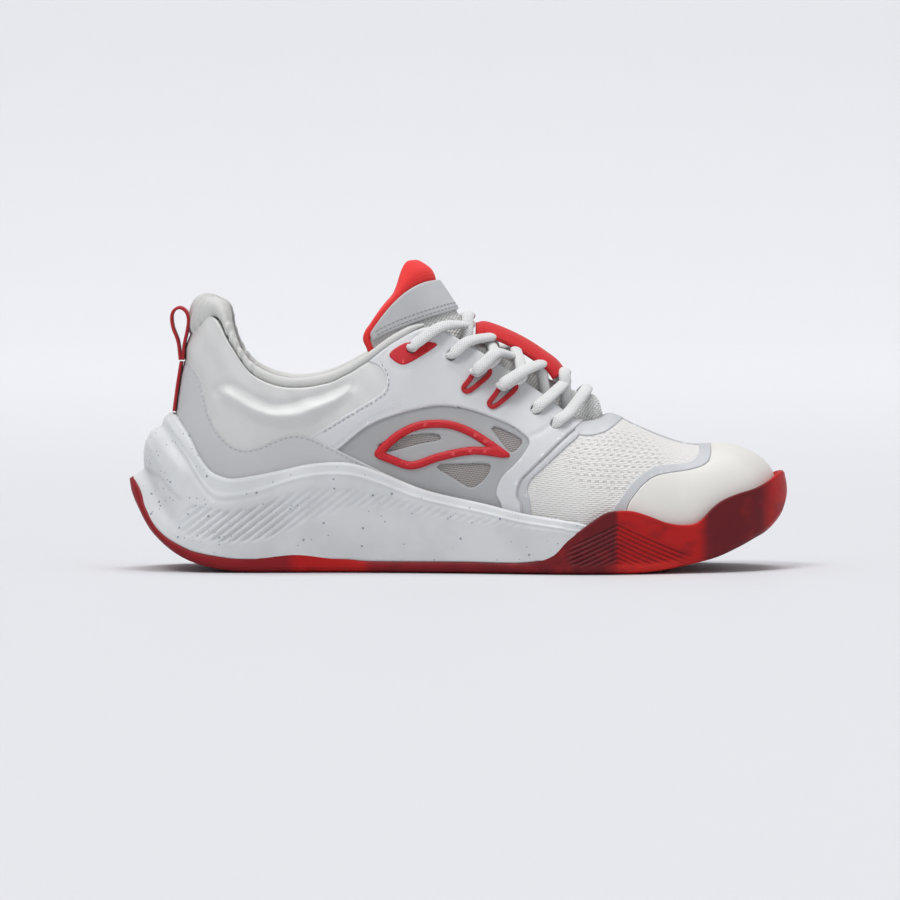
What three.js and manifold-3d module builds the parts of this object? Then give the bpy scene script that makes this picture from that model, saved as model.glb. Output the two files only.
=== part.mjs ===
// Training shoe for the right foot, laced, with a cupped sole and a layered upper.
// Millimetres. X runs to the toe, Z is up, and the outer (lateral) side faces -Y.
// The origin is on the ground, under the middle of the sole.
import * as THREE from 'three';
import { mergeVertices } from 'three/addons/utils/BufferGeometryUtils.js';
import Module from 'manifold-3d';

const wasm = await Module();
wasm.setup();

// Driving dimensions
const shoeLength = 285;
const shoeWidth = 97.5;
const shoeHeight = 134.5;
const seamGap = 0.3;            // clearance wherever two pieces touch
const overlayThickness = 1.2;   // outer panels
const meshThickness = 0.8;      // knitted layer under them
const stiffenerThickness = 0.8; // heel counter and toe puff
const liningThickness = 1;
const badgeHeight = 0.7;        // how far the side badge stands proud of the outer panels
const badgeBand = 3.6;
const outsoleThickness = 5.5;
const outsoleEdge = 4;          // rounding where the tread turns up into the wall
const cupWall = 5;              // outsole wall beside the foam in the forefoot
const foamWall = 3.6;           // midsole wall above the footbed
const boardThickness = 1.5;
const insoleThickness = 4;
const boardInset = 6.2;
const laceDiameter = 4.2;
const eyeletHole = 5.4;
const webbingThickness = 1.4;
const loopWidth = 13;           // heel pull loop
const strapWidth = 13;          // cover strap over the lacing
const tongueFoam = 3.4;
const bindingHeight = 3;
const tipLength = 17;

// Size that the outlines below are drawn at; every outline point is graded from it.
const pattern = { length: 285, width: 97.5, height: 134.5 };
const grade = {
  x: shoeLength / pattern.length,
  y: shoeWidth / pattern.width,
  z: shoeHeight / pattern.height,
};
const at = (x, y, z) => new THREE.Vector3(x * grade.x, y * grade.y, z * grade.z);
const gradeOutline = (points) => points.map(([x, z]) => [x * grade.x, z * grade.z]);

// Depths of the upper's layers, measured inwards from the face of the outer panels.
const layer = {};
let depth = 0;
for (const [name, thickness] of [
  ['overlay', overlayThickness], ['mesh', meshThickness],
  ['stiffener', stiffenerThickness], ['lining', liningThickness],
]) {
  layer[name] = { outer: -depth, inner: -depth - thickness };
  depth += thickness + seamGap;
}
const wallStack = -layer.lining.inner;

// Upper: one row for each rib of the last, from the centre back of the heel to the toe tip.
// foot is where the wall stands on the sole, edge is where it ends at the collar, throat or ridge.
// Half-widths come lateral then medial. flare is how far the sole stands out beyond the foot line.
const ribs = [
  // foot x, z, widths   edge x, z, widths     bulge rise lean drop flare
  [-122, 30, 0, 0, -114.6, 108.5, 0, 0, 3, 22, 5, 25, 20.5],
  [-119, 28.5, 11.5, 11, -111, 109.6, 10, 10, 3.5, 22, 5, 25, 18],
  [-111, 27, 21.5, 20.5, -104.3, 107.5, 17.5, 17, 5, 22, 5, 26, 13.5],
  [-100, 26, 27.5, 26, -98.5, 97.5, 23.5, 22.5, 6, 20, 6, 24, 10],
  [-86, 25.5, 29.5, 27.5, -88.7, 84.2, 27.5, 26.5, 6.5, 18, 6, 20, 8],
  [-70, 25, 29.5, 27, -74, 78.6, 29.5, 28, 7, 17, 6, 18, 7.5],
  [-55, 24, 29.5, 26, -57, 80.4, 28.5, 27, 7, 17, 6.5, 18, 7],
  [-40, 22.8, 30, 25.5, -41, 88.5, 25.5, 24.5, 6.5, 18, 8.5, 20, 7],
  [-25, 21.3, 31.5, 26, -27, 98.5, 22, 21, 6, 20, 11, 24, 7],
  [-11, 19.5, 33.5, 27.5, -12, 104.4, 19.5, 19, 5.5, 22, 12.5, 27, 7],
  [4, 17.8, 36, 30, 3, 97.3, 19.5, 19, 5.5, 22, 13, 24, 7],
  [20, 16, 39.5, 34, 19, 87.3, 19.5, 19, 6, 20, 15, 18, 7],
  [36, 14.5, 43, 38.5, 35, 76, 19, 18.5, 7, 18, 17, 13, 7],
  [50, 13.5, 45, 41.5, 49.5, 65.5, 16.5, 16, 8, 15, 20, 8, 7],
  [60, 13, 45.3, 42.8, 59, 64.8, 10.5, 10.5, 8, 14, 25, 5, 6.7],
  [69, 12.7, 44.5, 43, 66, 67.2, 0, 0, 8, 14, 30, 1.5, 6.3],
  [80, 12.6, 42, 42, 76, 62.6, -1, 1, 8, 14, 29, 1, 6],
  [92, 13, 38, 40, 87, 57.9, -1.5, 1.5, 7.5, 14, 27, 0.5, 6],
  [104, 14.6, 33, 37, 97, 54.6, -2, 2, 7, 13.5, 24, 0, 6],
  [115, 17.8, 27, 33, 104, 53.9, -2.5, 2.5, 6, 13, 21, -0.8, 6],
  [124, 22, 20, 28, 108, 54, -3, 3, 5, 12.5, 18, -1.4, 6],
  [131, 26.5, 11.5, 21, 108, 54, -3, 3, 4.2, 12, 18, -1.8, 5.8],
  [135.5, 31, 2.5, 13.5, 108, 54, -3, 3, 3.8, 11.5, 18, -1.8, 5.5],
  [137, 33, -5, 5, 108, 54, -3, 3, 3.5, 11, 18, -1.8, 5.3],
];
const lastRib = ribs.length - 1;
const wallRows = 6;
const heelCentre = -92;
const toeCentre = 98;

// Side-view lines of the sole: height along the length.
const treadLine = [[-142.5, 37.7], [-141.7, 32.8], [-138.4, 26.1], [-133.4, 17.8], [-126.8, 11.2],
  [-119.4, 6.2], [-111, 2.9], [-100.3, 0.9], [-89, 0], [76, 0], [88.7, 1.5], [102.5, 4.2],
  [111, 5.9], [120, 10.2], [126.8, 13.6], [132.8, 16.8], [138.8, 22.5], [141.8, 27.5], [143, 34.4]];
const outsoleLine = [[-142.5, 39.5], [-139.2, 34.4], [-136.7, 27.8], [-132.6, 21.2], [-126.8, 15.4],
  [-119.4, 11.2], [-111.1, 8.3], [-95.4, 6.2], [-70, 8.9], [-47.3, 5.8], [-35.7, 5], [26.1, 5],
  [36.5, 7.1], [43.4, 12.5], [51.4, 18.5], [61.3, 25.5], [67.3, 27], [74.3, 26.7], [89.1, 21.5],
  [97.1, 20.5], [103, 22], [109, 27.5], [120.9, 33.4], [134.8, 37.9], [139.8, 41.4], [143, 42]];
const foamLine = [[-150, 67.9], [-124.3, 67.9], [-117.7, 62.5], [-113.6, 55.9], [-110.3, 49.3],
  [-106.1, 43.5], [-102, 41], [-97, 39.8], [-88.7, 41], [-76.3, 43.5], [-63.9, 46.2], [-51.5, 47],
  [-42.4, 45.6], [-30.8, 41.5], [-13.4, 34.8], [10.9, 29.4], [26.1, 25.7], [44.3, 22.7], [53.4, 20.9]];
const foamTip = 53.4;           // the midsole's wall ends here and the outsole takes over
const cupStart = 40;
const cupFull = 60;

const heightOn = (line, x) => {
  const along = x / grade.x;
  if (along <= line[0][0]) return line[0][1] * grade.z;
  for (let i = 1; i < line.length; i++) {
    const [x1, z1] = line[i];
    const [x0, z0] = line[i - 1];
    if (along <= x1) return (z0 + (z1 - z0) * (along - x0) / (x1 - x0)) * grade.z;
  }
  return line[line.length - 1][1] * grade.z;
};
const ramp = (x, from, to) => THREE.MathUtils.clamp((x / grade.x - from) / (to - from), 0, 1);

// Closed-mesh helpers
const solidFrom = (positions, faces) => {
  let geometry = new THREE.BufferGeometry();
  geometry.setAttribute('position', new THREE.Float32BufferAttribute(positions.flatMap((p) => [p.x, p.y, p.z]), 3));
  geometry.setIndex(faces.flat());
  geometry = mergeVertices(geometry, 1e-3);
  const kept = new Map();
  const index = geometry.index.array;
  for (let i = 0; i < index.length; i += 3) {
    const face = [index[i], index[i + 1], index[i + 2]];
    if (new Set(face).size < 3) continue;
    const key = [...face].sort((a, b) => a - b).join();
    if (kept.has(key)) kept.delete(key);      // two faces back to back cancel
    else kept.set(key, face);
  }
  geometry.setIndex([...kept.values()].flat());
  return geometry;
};

const toManifold = (geometry) => {
  const bare = geometry.clone();
  bare.deleteAttribute('normal');
  bare.deleteAttribute('uv');
  const merged = mergeVertices(bare, 1e-4);
  const index = merged.index.array;
  const faces = [];
  for (let i = 0; i < index.length; i += 3) {
    if (index[i] !== index[i + 1] && index[i + 1] !== index[i + 2] && index[i] !== index[i + 2]) {
      faces.push(index[i], index[i + 1], index[i + 2]);
    }
  }
  return new wasm.Manifold(new wasm.Mesh({
    numProp: 3, vertProperties: merged.attributes.position.array, triVerts: new Uint32Array(faces),
  }));
};

const toGeometry = (manifold) => {
  const mesh = manifold.getMesh();
  const geometry = new THREE.BufferGeometry();
  geometry.setAttribute('position', new THREE.Float32BufferAttribute(mesh.vertProperties, 3));
  geometry.setIndex([...mesh.triVerts]);
  return geometry;
};

const quad = (faces, a, b, c, d) => faces.push([a, b, c], [a, c, d]);

// Gives an open sheet of quads a thickness along its own normals.
const thicken = (positions, faces, outer, inner) => {
  const sheet = solidFrom(positions, faces);
  sheet.computeVertexNormals();
  const place = sheet.attributes.position;
  const normal = sheet.attributes.normal;
  const points = [];
  for (const shift of [outer, inner]) {
    for (let i = 0; i < place.count; i++) {
      points.push(new THREE.Vector3().fromBufferAttribute(place, i)
        .addScaledVector(new THREE.Vector3().fromBufferAttribute(normal, i), shift));
    }
  }
  const index = sheet.index.array;
  const closed = [];
  const edges = new Map();
  for (let i = 0; i < index.length; i += 3) {
    const [a, b, c] = [index[i], index[i + 1], index[i + 2]];
    closed.push([a, b, c], [a + place.count, c + place.count, b + place.count]);
    for (const [p, q] of [[a, b], [b, c], [c, a]]) {
      if (edges.has(`${q}_${p}`)) edges.delete(`${q}_${p}`);
      else edges.set(`${p}_${q}`, [p, q]);
    }
  }
  for (const [p, q] of edges.values()) quad(closed, q, p, p + place.count, q + place.count);
  return solidFrom(points, closed);
};

// A prism across the shoe from a side-view outline; side -1 is lateral, 1 medial, 0 both.
const reach = 90;
const prism = (outline, side = 0) => {
  const shape = new THREE.Shape(outline.map(([x, z]) => new THREE.Vector2(x, z)));
  const width = side === 0 ? 2 * reach : reach - seamGap / 2;
  const geometry = new THREE.ExtrudeGeometry(shape, { depth: width, bevelEnabled: false });
  geometry.rotateX(Math.PI / 2);
  geometry.translate(0, side < 0 ? -seamGap / 2 : reach, 0);
  return toManifold(geometry);
};

// Moves an outline outwards (or inwards) by a distance, whichever way it runs.
const grow = (outline, distance) => {
  const area = outline.reduce((sum, [x, z], i) => {
    const [nx, nz] = outline[(i + 1) % outline.length];
    return sum + x * nz - nx * z;
  }, 0);
  const turn = Math.sign(area);
  return outline.map(([x, z], i) => {
    const [px, pz] = outline[(i + outline.length - 1) % outline.length];
    const [nx, nz] = outline[(i + 1) % outline.length];
    const before = new THREE.Vector2(z - pz, px - x).normalize();
    const after = new THREE.Vector2(nz - z, x - nx).normalize();
    const out = before.add(after).normalize();
    const spread = Math.max(0.5, out.dot(after));
    return [x + out.x * turn * distance / spread, z + out.y * turn * distance / spread];
  });
};

// One point of the upper's wall: rib may be fractional, rise runs 0 at the foot to 1 at the edge.
const ribAt = (rib) => {
  const low = Math.min(Math.floor(rib), lastRib - 1);
  const part = rib - low;
  return ribs[low].map((value, i) => value + (ribs[low + 1][i] - value) * part);
};
const wallCorners = (side, rib) => {
  const [fx, fz, fLat, fMed, ex, ez, eLat, eMed, bulge, rise, lean, drop] = ribAt(rib);
  const foot = at(fx, side < 0 ? -fLat : fMed, fz);
  const edge = at(ex, side < 0 ? -eLat : eMed, ez);
  const spine = THREE.MathUtils.clamp(fx, heelCentre, toeCentre) * grade.x;
  const out = new THREE.Vector3(foot.x - spine, foot.y, 0).normalize();
  const low = foot.clone().addScaledVector(out, bulge).add(at(0, 0, rise));
  const high = edge.clone().addScaledVector(out, lean).add(at(0, 0, -drop));
  return { foot, low, high, edge, out };
};
const wallPoint = (side, rib, rise) => {
  const { foot, low, high, edge } = wallCorners(side, rib);
  const curve = new THREE.CubicBezierCurve3(foot, low, high, edge);
  return curve.getPoint(rise);
};
const wallNormal = (side, rib, rise) => {
  const step = 0.02;
  const up = wallPoint(side, rib, Math.min(1, rise + step)).sub(wallPoint(side, rib, Math.max(0, rise - step)));
  const ribUp = Math.min(lastRib, rib + 0.2);
  const ribDown = Math.max(0, rib - 0.2);
  const along = wallPoint(side, ribUp, rise).sub(wallPoint(side, ribDown, rise));
  return up.cross(along).multiplyScalar(side).normalize();
};
// Finds where a side-view point lies on the wall.
const onWall = (side, x, z) => {
  let best = null;
  for (let rib = 1; rib <= lastRib; rib += 0.05) {
    let low = 0;
    let high = 1;
    for (let i = 0; i < 24; i++) {
      const middle = (low + high) / 2;
      if (wallPoint(side, rib, middle).z < z * grade.z) low = middle;
      else high = middle;
    }
    const miss = Math.abs(wallPoint(side, rib, low).x - x * grade.x);
    if (!best || miss < best.miss) best = { miss, rib, rise: low };
  }
  return { point: wallPoint(side, best.rib, best.rise), normal: wallNormal(side, best.rib, best.rise), ...best };
};

// Both walls as one open sheet, joined at the heel, the ridge and the toe tip.
const wallSheet = () => {
  const points = [];
  const faces = [];
  for (const side of [-1, 1]) {
    const start = points.length;
    for (let rib = 0; rib <= lastRib; rib++) {
      for (let row = 0; row <= wallRows; row++) points.push(wallPoint(side, rib, row / wallRows));
    }
    for (let rib = 0; rib < lastRib; rib++) {
      for (let row = 0; row < wallRows; row++) {
        const a = start + rib * (wallRows + 1) + row;
        const b = a + wallRows + 1;
        if (side < 0) quad(faces, a, b, b + 1, a + 1);
        else quad(faces, a, a + 1, b + 1, b);
      }
    }
  }
  return { points, faces };
};
const sheet = wallSheet();
const wallShell = (outer, inner) => toManifold(thicken(sheet.points, sheet.faces, outer, inner));

// A closed body from rings of points; each ring is {lateral: [], medial: []} from heel to toe.
const stackRings = (rings) => {
  const points = [];
  const faces = [];
  const count = rings[0].lateral.length;
  const first = (ring, side) => (ring * 2 + side) * count;
  for (const ring of rings) points.push(...ring.lateral, ...ring.medial);
  for (let i = 0; i < count - 1; i++) {
    for (let r = 0; r < rings.length - 1; r++) {
      const a = first(r, 0) + i;
      const b = first(r + 1, 0) + i;
      quad(faces, a, a + 1, b + 1, b);
      const c = first(r, 1) + i;
      const d = first(r + 1, 1) + i;
      quad(faces, c, d, d + 1, c + 1);
    }
    const top = rings.length - 1;
    quad(faces, first(0, 0) + i, first(0, 1) + i, first(0, 1) + i + 1, first(0, 0) + i + 1);
    quad(faces, first(top, 0) + i, first(top, 0) + i + 1, first(top, 1) + i + 1, first(top, 1) + i);
  }
  return toManifold(solidFrom(points, faces));
};
const ringOf = (make) => ({
  lateral: ribs.map((_, rib) => make(-1, rib)),
  medial: ribs.map((_, rib) => make(1, rib)),
});

// Everything inside the upper's outer face, grown by a clearance: what the sole is hollowed by.
const upperVolume = (clearance) => {
  const rings = [];
  for (let row = 0; row <= wallRows; row++) {
    rings.push(ringOf((side, rib) => {
      const { out } = wallCorners(side, rib);
      const point = wallPoint(side, rib, row / wallRows);
      const push = row === wallRows ? 0 : clearance * 1.2;
      return point.addScaledVector(out, push).add(new THREE.Vector3(0, 0, row === 0 ? -clearance : 0));
    }));
  }
  return stackRings(rings);
};
const upperRoom = upperVolume(seamGap);

// Sole
const soleEdge = (side, rib, inset) => {
  const { foot, out } = wallCorners(side, rib);
  return foot.clone().addScaledVector(out, ribs[rib][12] - inset);
};
const lift = (point, z) => new THREE.Vector3(point.x, point.y, z);

const outsoleBody = () => {
  const tread = ringOf((side, rib) => {
    const p = soleEdge(side, rib, outsoleEdge);
    return lift(p, heightOn(treadLine, p.x));
  });
  const top = (p) => heightOn(outsoleLine, p.x);
  const turn = ringOf((side, rib) => {
    const p = soleEdge(side, rib, 0.6);
    return lift(p, Math.min(heightOn(treadLine, p.x) + 2.2, top(p) - 0.8));
  });
  const wall = ringOf((side, rib) => {
    const p = soleEdge(side, rib, 0);
    return lift(p, (Math.min(heightOn(treadLine, p.x) + 2.2, top(p) - 0.8) + top(p)) / 2);
  });
  const rim = ringOf((side, rib) => {
    const p = soleEdge(side, rib, 0.8 + 1.2 * ramp(soleEdge(side, rib, 0).x, cupFull, 120));
    return lift(p, top(p));
  });
  return stackRings([tread, turn, wall, rim]);
};

// The foam's outer shape; growth makes the cavity that the outsole holds it in.
const foamBody = (growth) => {
  const bottom = ringOf((side, rib) => {
    const edge = soleEdge(side, rib, 0).x;
    const inset = 0.5 + cupWall * ramp(edge, cupStart, cupFull);
    const tread = heightOn(treadLine, soleEdge(side, rib, inset).x);
    const line = heightOn(outsoleLine, soleEdge(side, rib, inset).x);
    const floor = Math.max(Math.min(line, tread + outsoleThickness) + seamGap, tread + 1.5);
    return lift(soleEdge(side, rib, inset - growth), floor - growth);
  });
  const rimAt = (side, rib) => {
    const { foot, out } = wallCorners(side, rib);
    const edge = soleEdge(side, rib, 0);
    if (foot.x > (foamTip + 3) * grade.x) {
      const p = soleEdge(side, rib, 0.5 + cupWall - growth);
      return lift(p, foot.z - seamGap - 0.1 + 3 * growth);
    }
    let rise = 0;
    while (rise < 1) {
      const p = wallPoint(side, rib, rise);
      if (p.z >= heightOn(foamLine, p.x)) break;
      rise += 0.01;
    }
    const p = wallPoint(side, rib, rise).addScaledVector(out, foamWall + growth);
    const shrink = ramp(edge.x, cupStart, cupFull) * 1.5;
    return p.addScaledVector(out, -shrink).setZ(p.z + growth);
  };
  const rim = ringOf(rimAt);
  const between = (part) => {
    const mix = (a, b) => a.map((p, i) => p.clone().lerp(b[i], part));
    return { lateral: mix(bottom.lateral, rim.lateral), medial: mix(bottom.medial, rim.medial) };
  };
  return stackRings([bottom, between(0.35), between(0.7), rim]);
};

// Flat piece that follows the footbed, inset from the foot line.
const footbedSlab = (inset, low, high) => {
  const edge = (side, rib, z) => {
    const { foot, out } = wallCorners(side, rib);
    return foot.addScaledVector(out, -inset).add(new THREE.Vector3(0, 0, z));
  };
  return stackRings([ringOf((s, r) => edge(s, r, low)), ringOf((s, r) => edge(s, r, high))]);
};

// Panel outlines in side view (X, Z)
const far = { heel: -160, toe: 160, ground: 5, top: 150 };
const foxingEdge = gradeOutline([[-114.3, 87.1], [-110.9, 82.8], [-108.5, 75.1], [-106.1, 66.4],
  [-102.3, 59.6], [-97.4, 54.8], [-91.6, 52.8], [-84.9, 54.3], [-77.1, 57.7], [-70.4, 59.2],
  [-64.6, 58.2], [-56.9, 54.8], [-40.5, 46.6], [-30.8, 42.2]]);
const foxing = [[far.heel, foxingEdge[0][1] + 1], ...foxingEdge, [-24 * grade.x, far.ground], [far.heel, far.ground]];
const quarterRear = gradeOutline([[-42.4, 97], [-37.6, 89.6], [-33.8, 87.2], [-31.8, 83.3],
  [-31.8, 78.9], [-34.2, 75.9], [-50.1, 66.4], [-64.6, 57.5]]);
const quarterFront = gradeOutline([[27, 10], [26.4, 27.9], [24.7, 31.4], [24.7, 35.7], [26.4, 40],
  [30.7, 44.4], [43.7, 56.5], [50.2, 61.7], [56, 72]]);
const tapeInner = gradeOutline([[32, 10], [30.3, 30.1], [29, 34.4], [29.9, 38.7], [32.9, 42.2],
  [45, 53], [51, 57.9]]);
const throatTape = gradeOutline([[58.3, 58.9], [63.6, 60.5], [68.9, 63.9]]);
const toeTapeRear = gradeOutline([[64, 10], [65.9, 26.8], [68.9, 32.1], [73.5, 38], [79.5, 43.4],
  [86.1, 46], [95.4, 46.3], [102, 48], [104, 51.3], [103.5, 62]]);
const toeTapeFront = gradeOutline([[70, 10], [71.5, 26.8], [75.5, 34.1], [80.8, 39.4], [86.8, 42],
  [100, 44], [106.6, 46], [109, 50], [110, 62]]);
const windowArch = gradeOutline([[-51.1, 53], [-39.1, 62.5], [-26.7, 67.5], [-16.9, 70], [-8.2, 71.2],
  [1.7, 70.2], [11.6, 67.2], [21.6, 63.2], [27.5, 59.2], [30, 56.3], [28.5, 52.3], [23.6, 46.3],
  [18.6, 41.4], [16.1, 36.4], [16.1, 32.5], [20, 10]]);
const arch = [...windowArch, [-20 * grade.x, far.ground]];
const slots = [
  [[-34.2, 53.9], [-27.7, 56.5], [-20.3, 58.6], [-12.5, 59.5], [-7.8, 58.2], [-9.1, 56.9],
    [-14.7, 55.2], [-28.6, 51.7]],
  [[13.8, 62.1], [16.4, 62.5], [26, 57.8], [26.8, 56], [22.9, 51.7], [20.8, 53], [16.9, 57.8]],
  [[-9.1, 44.8], [-6.5, 46.1], [11.7, 46.5], [13, 44.8], [11.3, 41.3], [8.2, 37.9], [4.8, 36.6],
    [1.3, 38.3], [-3.9, 41.3]],
].map(gradeOutline);
const badgeLeaf = gradeOutline([[-29.5, 47], [-20, 42.5], [-8, 47.8], [6, 51], [19, 49.6],
  [11, 57.8], [4.8, 62.1], [-1.7, 64.7], [-8.2, 65.6], [-16.9, 64.7], [-24.2, 61.9], [-30.5, 57.5],
  [-36.5, 51.5]]);

const panelShell = wallShell(layer.overlay.outer, layer.overlay.inner);
const meshShell = wallShell(layer.mesh.outer, layer.mesh.inner);
const stiffShell = wallShell(layer.stiffener.outer, layer.stiffener.inner);
const liningShell = wallShell(layer.lining.outer, layer.lining.inner);

// Eyelets: side-view places, from the toe end to the collar; loops carry the lace on the outside.
const eyelets = [
  { x: 41.5, z: 63.4, kind: 'hole' },
  { x: 32.9, z: 69.4, kind: 'hole', crossing: 46 },
  { x: 19, z: 78.5, kind: 'loop', crossing: 36 },
  { x: 8, z: 85, kind: 'loop', crossing: 25 },
  { x: -3.5, z: 92.4, kind: 'hole', crossing: 14 },
  { x: -20.3, z: 95.4, kind: 'patch', crossing: 4 },
];
const drill = (side, eyelet) => {
  const spot = onWall(side, eyelet.x, eyelet.z);
  const bore = new THREE.CylinderGeometry(eyeletHole / 2, eyeletHole / 2, 4 * wallStack, 8);
  bore.applyQuaternion(new THREE.Quaternion().setFromUnitVectors(new THREE.Vector3(0, 1, 0), spot.normal));
  bore.translate(spot.point.x, spot.point.y, spot.point.z);
  return toManifold(bore);
};
const pierced = eyelets.filter((eyelet) => eyelet.kind !== 'loop');
const drilled = (solid, side) => pierced.reduce((left, eyelet) => left.subtract(drill(side, eyelet)), solid);

// Tongue: centre line from the throat to the top, with half-width and how far the sides fall and sweep back.
const tongueRibs = [
  // centre x, z, half-width, fall, sweep
  [65, 59.4, 5, 4, 0], [62.2, 66, 6, 17, 0], [59, 74.2, 10, 26, 1], [50, 76.4, 14, 30, 3],
  [40, 81, 15.5, 32, 5], [30, 86.5, 17, 33, 10], [19, 92.3, 18, 32, 14], [8, 98.5, 17.5, 30, 19],
  [2, 106, 16, 28, 25], [-2, 112.5, 15.2, 26, 29], [-5.8, 118.5, 15, 25, 31], [-9.5, 124, 15, 24, 30],
];
const tonguePoint = (rib, across) => {
  const low = Math.min(Math.floor(rib), tongueRibs.length - 2);
  const part = rib - low;
  const [x, z, half, fall, sweep] = tongueRibs[low].map((v, i) => v + (tongueRibs[low + 1][i] - v) * part);
  const round = THREE.MathUtils.clamp((rib - 5) / 3, 0, 1);
  const turn = across * Math.PI / 2;
  const fallen = THREE.MathUtils.lerp(across * across, 1 - Math.cos(turn), round);
  const side = THREE.MathUtils.lerp(across, Math.sin(turn), round);
  return at(x - sweep * fallen, half * side, z - fall * fallen);
};
const tongueCentre = (x) => {
  let rib = 0;
  while (rib < tongueRibs.length - 1 && tonguePoint(rib, 0).x > x * grade.x) rib += 0.05;
  return tonguePoint(rib, 0);
};
const tongueSheet = (from, to, outer, inner, reachAcross = 1) => {
  const rows = Math.round(to - from);
  const columns = 8;
  const points = [];
  const faces = [];
  for (let row = 0; row <= rows; row++) {
    for (let column = 0; column <= columns; column++) {
      const across = reachAcross * (2 * column / columns - 1);
      points.push(tonguePoint(from + (to - from) * row / rows, across));
    }
  }
  for (let row = 0; row < rows; row++) {
    for (let column = 0; column < columns; column++) {
      const a = row * (columns + 1) + column;
      quad(faces, a, a + 1, a + columns + 2, a + columns + 1);
    }
  }
  return thicken(points, faces, outer, inner);
};

// Sweeps a section along chosen points, with a ring at each point.
class Route extends THREE.CatmullRomCurve3 {
  getPointAt(u, target) { return this.getPoint(u, target); }
  getTangentAt(u, target) { return this.getTangent(u, target); }
}
const sweep = (points, radius, sides = 8) => {
  const section = new THREE.Shape();
  for (let i = 0; i < sides; i++) {
    const angle = 2 * Math.PI * i / sides;
    const corner = [radius * Math.cos(angle), radius * Math.sin(angle)];
    if (i === 0) section.moveTo(...corner);
    else section.lineTo(...corner);
  }
  const path = new Route(points, false, 'centripetal');
  return new THREE.ExtrudeGeometry(section, { steps: points.length - 1, extrudePath: path, bevelEnabled: false });
};

const model = new THREE.Group();
const add = (name, shape, color, roughness = 0.7, metalness = 0) => {
  const geometry = shape instanceof wasm.Manifold ? toGeometry(shape) : shape;
  const mesh = new THREE.Mesh(geometry, new THREE.MeshStandardMaterial({ color, roughness, metalness }));
  mesh.name = name;
  model.add(mesh);
};
const both = [[-1, 'lateral'], [1, 'medial']];

// Sole unit
const outsole = outsoleBody().subtract(foamBody(1.5 * seamGap)).subtract(upperRoom);
const midsole = foamBody(0).subtract(upperRoom);
add('outsole', outsole, 0xa51c26, 0.35);
add('midsole', midsole, 0xe9eaec, 0.6);
const boardTop = boardThickness;
add('strobel_board', footbedSlab(boardInset, 0, boardTop), 0xd8d4c8, 0.9);
const insoleBottom = boardTop + seamGap;
add('insole', footbedSlab(boardInset + seamGap, insoleBottom, insoleBottom + insoleThickness), 0xc9ccd0, 0.9);

// Outer panels
const foxingCut = prism(grow(foxing, seamGap));
add('heel_foxing', panelShell.intersect(prism(foxing)), 0xe2e2e3, 0.55);
for (const [side, name] of both) {
  const collarArea = prism([[far.heel, far.top], [quarterRear[0][0], far.top], ...quarterRear,
    [-70 * grade.x, far.ground], [far.heel, far.ground]], side);
  const quarterArea = prism([[quarterRear[0][0] + seamGap, far.top],
    ...quarterRear.map(([x, z]) => [x + seamGap, z]), [-64 * grade.x, far.ground],
    ...quarterFront, [60 * grade.x, far.top]], side);
  add(`collar_panel_${name}`, panelShell.intersect(collarArea).subtract(foxingCut), 0xe6e6e6, 0.5);
  const quarter = panelShell.intersect(quarterArea).subtract(foxingCut).subtract(prism(arch));
  add(`quarter_${name}`, drilled(quarter, side), 0xeceded, 0.5);
  const tapeArea = prism([...quarterFront.slice(0, 8).map(([x, z]) => [x + seamGap, z - seamGap]),
    ...[...tapeInner].reverse()], side);
  add(`side_tape_${name}`, panelShell.intersect(tapeArea), 0xb9bbbe, 0.35);
}
const spineBox = new THREE.BoxGeometry(38 * grade.x, 3.4, 60).translate(84.5 * grade.x, grade.y, 60 * grade.z);
const throatArea = prism([...gradeOutline([[52.8, 58.4], [52.8, 80], [70, 80]]), ...[...throatTape].reverse()]);
add('throat_tape', panelShell.intersect(throatArea.add(toManifold(spineBox))), 0xb9bbbe, 0.35);
add('toe_tape', panelShell.intersect(prism([...toeTapeRear, ...[...toeTapeFront].reverse()])), 0xb9bbbe, 0.35);
const toeArea = [...toeTapeFront, [far.toe, far.top], [far.toe, far.ground]];
add('toe_cap', panelShell.intersect(prism(grow(toeArea, -seamGap))), 0xe6e3de, 0.5);

// Knitted layer, stiffeners and lining
for (const [side, name] of both) {
  const windows = slots.reduce((left, slot) => left.subtract(prism(slot)), meshShell.intersect(prism(arch, side)));
  add(`window_panel_${name}`, windows, 0x9b9ea2, 0.6);
  const darkMesh = stiffShell.intersect(prism(gradeOutline([[-48, 5], [-48, 54], [-36, 65], [-8, 73],
    [14, 69], [31, 58], [20, 40], [20, 5]]), side));
  add(`quarter_mesh_${name}`, drilled(darkMesh, side), 0x77777a, 0.9);
  const band = grow(badgeLeaf, -badgeBand);
  const loopOutline = prism(badgeLeaf, side).subtract(prism(band, side));
  add(`side_badge_${name}`, wallShell(badgeHeight, layer.mesh.outer + seamGap).intersect(loopOutline), 0xc3142a, 0.35);
}
const vampArea = gradeOutline([[-14, 150], [-14, 73.5], [2, 72.5], [12, 69.5], [22, 65.5], [29, 61.5],
  [32.5, 57], [31, 51.5], [26, 45.5], [21, 40.5], [18.5, 36], [18.5, 32], [23, 5], [160, 5], [160, 150]]);
const vampMesh = meshShell.intersect(prism(vampArea));
add('vamp_mesh', drilled(drilled(vampMesh, -1), 1), 0xe4e3e0, 0.9);
const puffArea = gradeOutline([[97, 5], [104, 30], [118, 70], [160, 70], [160, 5]]);
add('toe_puff', stiffShell.intersect(prism(puffArea)), 0xcfcac0, 0.8);
add('heel_counter', stiffShell.intersect(prism(gradeOutline([[-160, 70], [-104, 68], [-94, 60.5],
  [-84, 58], [-68, 58], [-60, 5], [-160, 5]]))), 0xbfb8a8, 0.8);
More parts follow.
